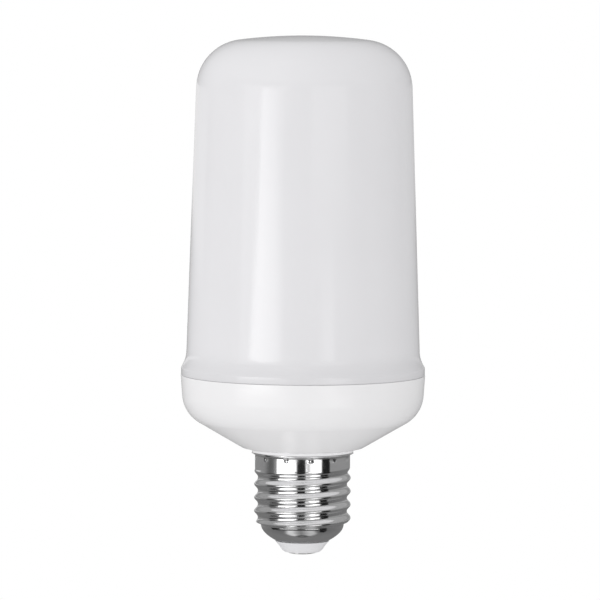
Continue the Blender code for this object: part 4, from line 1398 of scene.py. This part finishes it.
@dataclass
class LedCore:
    """The twelve-sided carrier, its LED boards and the phosphor in every LED."""

    columns: int = 12
    rows: int = 8
    column_pitch: float = 0.0097
    row_pitch: float = 0.0090
    led_height: float = 0.0008
    window_length: float = 0.0026
    window_width: float = 0.0020
    window_depth: float = 0.00012
    top_count: int = 8
    top_circle: float = 0.0100

    def __post_init__(self) -> None:
        """Read the wrap's top edge and the top board's face from the frame."""
        self.apothem = self.column_pitch / 2 / tan(pi / self.columns)
        self.wrap_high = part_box("led_flex_board")[1].z
        self.top_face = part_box("top_led_board")[1].z

    def window(self, recipe: Recipe) -> Field:
        """A thin pad of phosphor, lying flat at the origin.

        Args:
            recipe: The tree that it is made in.

        Returns:
            The pad's geometry.
        """
        graph = recipe.graph
        length = recipe.length("Window Length", self.window_length)
        width = recipe.length("Window Width", self.window_width)
        depth = recipe.length("Window Depth", self.window_depth)
        outline = graph.field(
            "GeometryNodeCurvePrimitiveQuadrilateral", {"Width": length, "Height": width}
        )
        face = graph.field("GeometryNodeFillCurve", {"Curve": outline})
        return graph.field(
            "GeometryNodeExtrudeMesh",
            {"Mesh": face, "Offset Scale": depth, "Individual": False},
            "Mesh",
        )

    def wrap_windows(self, finish: bpy.types.Material) -> bpy.types.Object:
        """Phosphor pads on the wrap, one for each LED, by column and row.

        Args:
            finish: The phosphor.

        Returns:
            All the pads as one piece.
        """
        recipe = Recipe("phosphor wrap")
        graph = recipe.graph
        columns = recipe.count("Columns", self.columns)
        rows = recipe.count("Rows", self.rows)
        pitch = recipe.length("Row Pitch", self.row_pitch)
        face = recipe.length("Face Distance", self.apothem + self.led_height)
        high = recipe.length("Wrap Top", self.wrap_high)
        index = graph.field("GeometryNodeInputIndex")
        column = graph.math("MODULO", index, columns)
        row = graph.math("FLOOR", index / columns)
        angle = column / columns * (2 * pi)
        level = high - pitch * (row + 0.5)
        place = graph.vector(
            face * graph.math("COSINE", angle), face * graph.math("SINE", angle), level
        )
        points = graph.field(
            "GeometryNodePoints", {"Count": columns * rows, "Position": place}
        )
        stood = graph.vector(pi / 2, 0.0, angle + pi / 2)
        placed = graph.field(
            "GeometryNodeInstanceOnPoints",
            {"Points": points, "Instance": self.window(recipe), "Rotation": stood},
        )
        recipe.finish(placed)
        return recipe.run("wrap_phosphor", finish)

    def top_windows(self, finish: bpy.types.Material) -> bpy.types.Object:
        """Phosphor pads on the top board: a ring, and one in the middle.

        Args:
            finish: The phosphor.

        Returns:
            All the pads as one piece.
        """
        recipe = Recipe("phosphor ring")
        graph = recipe.graph
        count = recipe.count("Ring Count", self.top_count)
        circle = recipe.length("Ring Radius", self.top_circle)
        level = recipe.length("Top Face", self.top_face)
        index = graph.field("GeometryNodeInputIndex")
        angle = index / count * (2 * pi)
        radius = circle * graph.math("LESS_THAN", index, count)
        place = graph.vector(
            radius * graph.math("COSINE", angle), radius * graph.math("SINE", angle), level
        )
        points = graph.field("GeometryNodePoints", {"Count": count + 1.0, "Position": place})
        placed = graph.field(
            "GeometryNodeInstanceOnPoints",
            {
                "Points": points,
                "Instance": self.window(recipe),
                "Rotation": graph.vector(0.0, 0.0, angle),
            },
        )
        recipe.finish(placed)
        return recipe.run("top_phosphor", finish)

    def dress(self, finishes: Finishes) -> None:
        """Dress the carrier and boards, and add the phosphor."""
        dress("led_core_tube", finishes["carrier white"])
        dress("led_flex_board", finishes["white solder mask"])
        dress("top_led_board", finishes["white solder mask"])
        hand_over(self.wrap_windows(finishes["phosphor"]), "led_board")
        hand_over(self.top_windows(finishes["phosphor"]), "led_board")
        for index in range(Housing.post_count):
            dress(f"core_screw_{index + 1}", finishes["zinc plated steel"])


@dataclass
class Electronics:
    """The mains driver board in the neck and bowl, and the control board in the core."""

    turns: int = 14
    wire_radius: float = 0.00018
    wire_sides: int = 6
    turn_steps: int = 20
    row_switches: int = 8

    def choke_turns(self, finish: bpy.types.Material) -> bpy.types.Object:
        """The choke's winding as one layer of turns, over the frame's coil.

        Args:
            finish: The enamelled copper.

        Returns:
            The turns as one piece.
        """
        low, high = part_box("choke_winding")
        middle = (low + high) / 2
        radius = (high.x - low.x) / 2 - self.wire_radius
        recipe = Recipe("choke winding")
        graph = recipe.graph
        turns = recipe.length("Turns", self.turns)
        coil_radius = recipe.length("Coil Radius", radius)
        coil_height = recipe.length("Coil Height", high.z - low.z - 2 * self.wire_radius)
        wire = recipe.length("Wire Radius", self.wire_radius)
        spiral = graph.field(
            "GeometryNodeCurveSpiral",
            {
                "Resolution": self.turn_steps,
                "Rotations": turns,
                "Start Radius": coil_radius,
                "End Radius": coil_radius,
                "Height": coil_height,
            },
        )
        section = graph.field(
            "GeometryNodeCurvePrimitiveCircle", {"Resolution": self.wire_sides, "Radius": wire}
        )
        tube = graph.field(
            "GeometryNodeCurveToMesh",
            {"Curve": spiral, "Profile Curve": section, "Fill Caps": True},
        )
        placed = graph.field(
            "GeometryNodeTransform",
            {
                "Geometry": tube,
                "Translation": (middle.x, middle.y, low.z + self.wire_radius),
            },
        )
        recipe.finish(placed)
        return recipe.run("choke_turns", finish)

    def dress(self, finishes: Finishes) -> None:
        """Dress both boards and everything on them."""
        materials = {
            "driver_board": "green solder mask",
            "control_board": "green solder mask",
            "mains_capacitor": "capacitor sleeve",
            "output_capacitor": "capacitor sleeve",
            "supply_capacitor": "capacitor sleeve",
            "choke_core": "ferrite",
            "choke_winding": "enamelled copper",
            "bridge_rectifier": "moulded package",
            "driver_chip": "moulded package",
            "freewheel_diode": "moulded package",
            "microcontroller": "moulded package",
            "fuse_resistor": "resistor coat",
            "live_wire": "red wire",
            "dc_lead_positive": "red wire",
            "top_lead_positive": "red wire",
            "neutral_wire": "black wire",
            "dc_lead_negative": "black wire",
            "top_lead_negative": "black wire",
        }
        for node, name in materials.items():
            dress(node, finishes[name])
        for index in range(self.row_switches):
            dress(f"row_transistor_{index + 1}", finishes["moulded package"])
        hand_over(self.choke_turns(finishes["enamelled copper"]), "copper_winding")


@dataclass(frozen=True)
class ReflectionCard:
    """A glowing card round the set that only reflections see.

    Its outline is given from the bottom up as (elevation, left azimuth, right azimuth, gain),
    in degrees, and its radiances stand evenly spaced from left to right.
    """

    name: str
    outline: tuple[tuple[float, float, float, float], ...]
    radiances: tuple[float, ...]
    softness: float = 1.0
    fade: float = 1.5
    distance: float = 1.60
    column_step: float = 0.8
    row_step: float = 1.0
    least_steps: int = 6

    @staticmethod
    def _read(stops: Sequence[tuple[float, ...]], value: float) -> tuple[float, ...]:
        """Values between stops whose first entry is the place.

        Args:
            stops: The stops in rising order.
            value: The place that is read.

        Returns:
            The other entries of a stop at that place.
        """
        for before, after in zip(stops, stops[1:]):
            if value <= after[0] or after is stops[-1]:
                share = min(max((value - before[0]) / (after[0] - before[0]), 0.0), 1.0)
                return tuple(a + (b - a) * share for a, b in zip(before[1:], after[1:]))
        return stops[-1][1:]

    @staticmethod
    def _soft(room: float, softness: float) -> float:
        """How much of the card is there at a distance from its edge.

        Args:
            room: The distance in degrees.
            softness: How wide the soft edge is, or 0 for a hard one.

        Returns:
            A share from 0 to 1.
        """
        share = min(max(room / softness, 0.0), 1.0) if softness else 1.0
        return share * share * (3.0 - 2.0 * share)

    def build(self, centre: Vector) -> bpy.types.Object:
        """Make the card as a patch of a sphere with soft edges.

        Args:
            centre: What the card stands round.

        Returns:
            The stage object.
        """
        made = bmesh.new()
        glow = made.verts.layers.float.new(CARD_GLOW)
        cover = made.verts.layers.float.new(CARD_SHARE)
        bottom, top = self.outline[0][0], self.outline[-1][0]
        widest = max(right - left for _, left, right, _ in self.outline)
        across = max(self.least_steps, ceil(widest / self.column_step))
        upward = max(self.least_steps, ceil((top - bottom) / self.row_step))
        last = len(self.radiances) - 1
        levels = [(index / last, value) for index, value in enumerate(self.radiances)]
        rows = []
        for row in range(upward + 1):
            elevation = bottom + (top - bottom) * row / upward
            left, right, gain = self._read(self.outline, elevation)
            ends = self._soft(min(elevation - bottom, top - elevation), self.fade)
            line = []
            for column in range(across + 1):
                share = column / across
                azimuth = radians(left + (right - left) * share)
                reach = cos(radians(elevation))
                way = Vector(
                    (sin(azimuth) * reach, -cos(azimuth) * reach, sin(radians(elevation)))
                )
                corner = made.verts.new(centre + way * self.distance)
                corner[glow] = gain * self._read(levels, share)[0]
                room = (right - left) * min(share, 1.0 - share)
                corner[cover] = ends * self._soft(room, self.softness)
                line.append(corner)
            rows.append(line)
        for lower, upper in zip(rows, rows[1:]):
            for index in range(across):
                made.faces.new((lower[index], upper[index], upper[index + 1], lower[index + 1]))
        card = new_object(self.name, made, self._material())
        card.visible_camera = False
        card.visible_diffuse = False
        card.visible_transmission = False
        card.visible_shadow = False
        return card

    def _material(self) -> bpy.types.Material:
        """A plain glow that fades out at the card's edges.

        Returns:
            The card's own material.
        """
        data = bpy.data.materials.new(self.name)
        data.use_nodes = True
        data.node_tree.nodes.clear()
        graph = Graph(data.node_tree)
        share = graph.field("ShaderNodeAttribute", output="Fac", attribute_name=CARD_SHARE)
        glow = graph.field("ShaderNodeAttribute", output="Fac", attribute_name=CARD_GLOW)
        lit = graph.field("ShaderNodeEmission", {"Color": WHITE, "Strength": glow})
        clear = graph.field("ShaderNodeBsdfTransparent")
        mixed = graph.field("ShaderNodeMixShader", {0: share, 1: clear, 2: lit})
        graph.node("ShaderNodeOutputMaterial", {"Surface": mixed})
        return data


CARDS = (
    ReflectionCard(
        "tent",
        ((-90, -180, 180, 1.0), (-30, -180, 180, 0.9), (-10, -180, 180, 1.0),
         (0, -180, 180, 1.2), (15, -180, 180, 1.4), (90, -180, 180, 1.6)),
        (0.20, 0.20, 0.17, 0.13, 0.12, 0.13, 0.17, 0.20, 0.20),
        softness=0.0, fade=0.0, distance=1.75, column_step=5.0, row_step=5.0,
    ),
    ReflectionCard(
        "upper_sky", ((14, -160, 160, 1), (80, -160, 160, 0.9)),
        (0.34, 0.35, 0.34, 0.34, 0.43, 0.52, 0.34, 0.38, 0.40, 0.39, 0.38, 0.38, 0.38),
        softness=10.0, fade=5.0, distance=1.66, column_step=2.0,
    ),
    ReflectionCard(
        "lower_front",
        ((-86, -150, 140, 0.9), (-66, -110, 100, 0.85), (-50, -80, 70, 0.9), (-26, -60, 50, 1)),
        (0.16, 0.30, 0.74, 0.74, 0.42, 0.24, 0.40, 0.58, 0.58, 0.28, 0.16),
        softness=30.0, fade=10.0, distance=1.64, column_step=2.0,
    ),
    ReflectionCard(
        "nadir", ((-90, -180, 180, 1), (-78, -180, 180, 1)), (0.06, 0.06),
        softness=0.0, fade=8.0, distance=1.62, column_step=6.0,
    ),
    ReflectionCard(
        "left_back", ((-2, -180, -118, 1), (3, -180, -118, 1)), (0.80, 0.70),
        softness=8.0, fade=1.0, distance=1.52,
    ),
    ReflectionCard(
        "right_back", ((-2, 118, 180, 1), (3, 118, 180, 1)), (0.45, 0.50),
        softness=8.0, fade=1.0, distance=1.52,
    ),
    ReflectionCard(
        "upper_gap", ((7, -84, 66, 1), (24, -84, 66, 1)), (0.05, 0.05),
        softness=4.0, fade=4.0,
    ),
    ReflectionCard(
        "lower_gap", ((-34, -84, 66, 1), (-10, -84, 66, 1)), (0.05, 0.05),
        softness=4.0, fade=4.0,
    ),
    ReflectionCard(
        "key_core",
        ((-14, -56, -30, 0.24), (-9, -60, -22, 0.3), (-6, -66, -13, 0.5), (-1, -54.5, -20, 1.0),
         (0.9, -51, -21.5, 1.0), (2, -47, -24, 0.95), (7, -45, -27, 0.45), (13, -44, -30, 0.3)),
        (6.4, 6.4, 6.2, 5.6, 5.0, 4.5, 4.0, 3.0, 1.6),
        softness=1.4, distance=1.44, column_step=0.4, row_step=0.5,
    ),
    ReflectionCard(
        "key_panel",
        ((-20, -66, -13, 1), (-6, -66, -13, 1), (3, -66, -21, 1), (14, -70, -13, 1)),
        (1.25, 1.25, 1.25), softness=2.0, distance=1.48,
    ),
    ReflectionCard(
        "fill_core",
        ((-16, 17, 38, 1.0), (-9, 14, 40, 0.9), (-6, 7, 48, 0.5), (-3, 11, 31, 0.95),
         (-1, 12.5, 31, 1.05), (0.2, 15, 31, 1.05), (0.9, 17.5, 30.5, 0.6), (1.5, 20, 30, 0.25)),
        (0.3, 1.2, 2.2, 2.8, 2.8, 2.8),
        softness=1.2, distance=1.44, column_step=0.4, row_step=0.5,
    ),
    ReflectionCard(
        "fill_panel", ((-20, 7, 48, 1), (-3, 7, 48, 1)), (1.2, 1.25, 1.25),
        softness=1.5, fade=1.0, distance=1.48,
    ),
    ReflectionCard(
        "fill_upper", ((2, 7, 46, 1), (15, 7, 46, 1)), (1.1, 1.1),
        softness=2.0, fade=2.0, distance=1.52,
    ),
    ReflectionCard(
        "front_flag", ((-26, -14, 8, 1), (-16, -13, 7, 1), (16, -13, 7, 1)), (0.01, 0.01),
        softness=1.5, fade=3.0, distance=1.50,
    ),
    ReflectionCard(
        "right_flag", ((-50, 60, 86, 1), (-8, 47, 70, 1), (16, 46, 72, 1)), (0.01, 0.01),
        softness=2.0, fade=3.0, distance=1.50,
    ),
    ReflectionCard(
        "left_flag", ((-14, -104, -66, 1), (6, -104, -66, 1)),
        (0.26, 0.16, 0.10, 0.12, 0.35), softness=2.0, fade=2.0, distance=1.50,
    ),
    ReflectionCard(
        "left_dark", ((-30, -98, -72, 1), (24, -98, -76, 1)), (0.01, 0.01),
        softness=2.0, fade=4.0, distance=1.54,
    ),
    ReflectionCard(
        "left_wall", ((-16, -180, -100, 1), (12, -180, -100, 1)), (0.265, 0.265),
        softness=4.0, fade=4.0, distance=1.56,
    ),
    ReflectionCard(
        "right_wall", ((-10, 68, 180, 1), (12, 70, 180, 1)), (0.32, 0.28),
        softness=3.0, fade=3.0, distance=1.56,
    ),
)


@dataclass
class Studio:
    """Camera, even light, floor, and the cards that the nickel reflects."""

    aim: Place = (-0.00089, 0.0, 0.0688)
    camera_distance: float = 1.30
    camera_elevation: float = radians(4.2)
    camera_roll: float = radians(0.27)
    lens: float = 289.2
    sensor: float = 36.0
    near_limit: float = 0.01
    ambient: float = 0.90
    front_gain: float = 0.20
    right_gain: float = -0.20
    zenith_gain: float = 0.05
    floor_level: float = -0.30
    floor_radius: float = 1.2
    floor_segments: int = 64
    floor_shade: float = 0.95
    floor_roughness: float = 0.8
    floor_sheen: float = 0.1
    cards: tuple[ReflectionCard, ...] = CARDS

    def camera(self) -> None:
        """Stand the camera at the photograph's angle."""
        data = bpy.data.cameras.new("camera")
        data.lens = self.lens
        data.sensor_width = self.sensor
        data.clip_start = self.near_limit
        view = bpy.data.objects.new("camera", data)
        bpy.context.collection.objects.link(view)
        back = Vector((0.0, -cos(self.camera_elevation), sin(self.camera_elevation)))
        turn = (-back).to_track_quat("-Z", "Y").to_matrix().to_4x4()
        roll = Matrix.Rotation(self.camera_roll, 4, "Z")
        view.matrix_world = (
            Matrix.Translation(Vector(self.aim) + back * self.camera_distance) @ turn @ roll
        )
        bpy.context.scene.camera = view

    def world(self) -> None:
        """Even light from all round, a little stronger from the front left and from above.

        The camera, reflections and what is seen through clear parts get plain white.
        """
        world = bpy.data.worlds.new("tent")
        world.use_nodes = True
        world.node_tree.nodes.clear()
        graph = Graph(world.node_tree)
        right, away, up = graph.axes(graph.field("ShaderNodeTexCoord"))
        light = self.ambient + right * self.right_gain - away * self.front_gain
        light = light + graph.math("MAXIMUM", up, 0.0) * self.zenith_gain
        path = graph.node("ShaderNodeLightPath")
        camera, glossy, through = (
            Field(graph, path.outputs[f"Is {kind} Ray"])
            for kind in ("Camera", "Glossy", "Transmission")
        )
        seen = graph.math("MAXIMUM", graph.math("MAXIMUM", camera, glossy), through)
        strength = seen + light * (1.0 - seen)
        lit = graph.field("ShaderNodeBackground", {"Color": WHITE, "Strength": strength})
        graph.node("ShaderNodeOutputWorld", {"Surface": lit})
        bpy.context.scene.world = world
        bpy.context.scene.view_settings.view_transform = "Standard"

    def floor(self) -> None:
        """A plain pale floor, below the lamp."""
        made = bmesh.new()
        bmesh.ops.create_circle(
            made, cap_ends=True, radius=self.floor_radius, segments=self.floor_segments
        )
        bmesh.ops.translate(made, verts=made.verts, vec=(0, 0, self.floor_level))
        pale = Material("pale floor")
        pale.set(
            base_color=(*[self.floor_shade] * 3, 1.0),
            roughness=self.floor_roughness,
            specular_ior_level=self.floor_sheen,
        )
        floor = new_object("floor", made, pale.data)
        floor.visible_glossy = False

    def build(self) -> None:
        """Set everything up."""
        self.camera()
        self.world()
        self.floor()
        centre = Vector(self.aim)
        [card.build(centre) for card in self.cards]
        log.info("studio: %d cards", len(self.cards))


def main() -> None:
    """Dress the lamp and set the studio."""
    logging.basicConfig(level=logging.INFO, format="%(name)s: %(message)s")
    finishes = Finishes()
    for part in (Cover(), Housing(), ScrewShell(), CapNose(), LedCore(), Electronics()):
        part.dress(finishes)
    Studio().build()


if __name__ == "__main__":
    main()
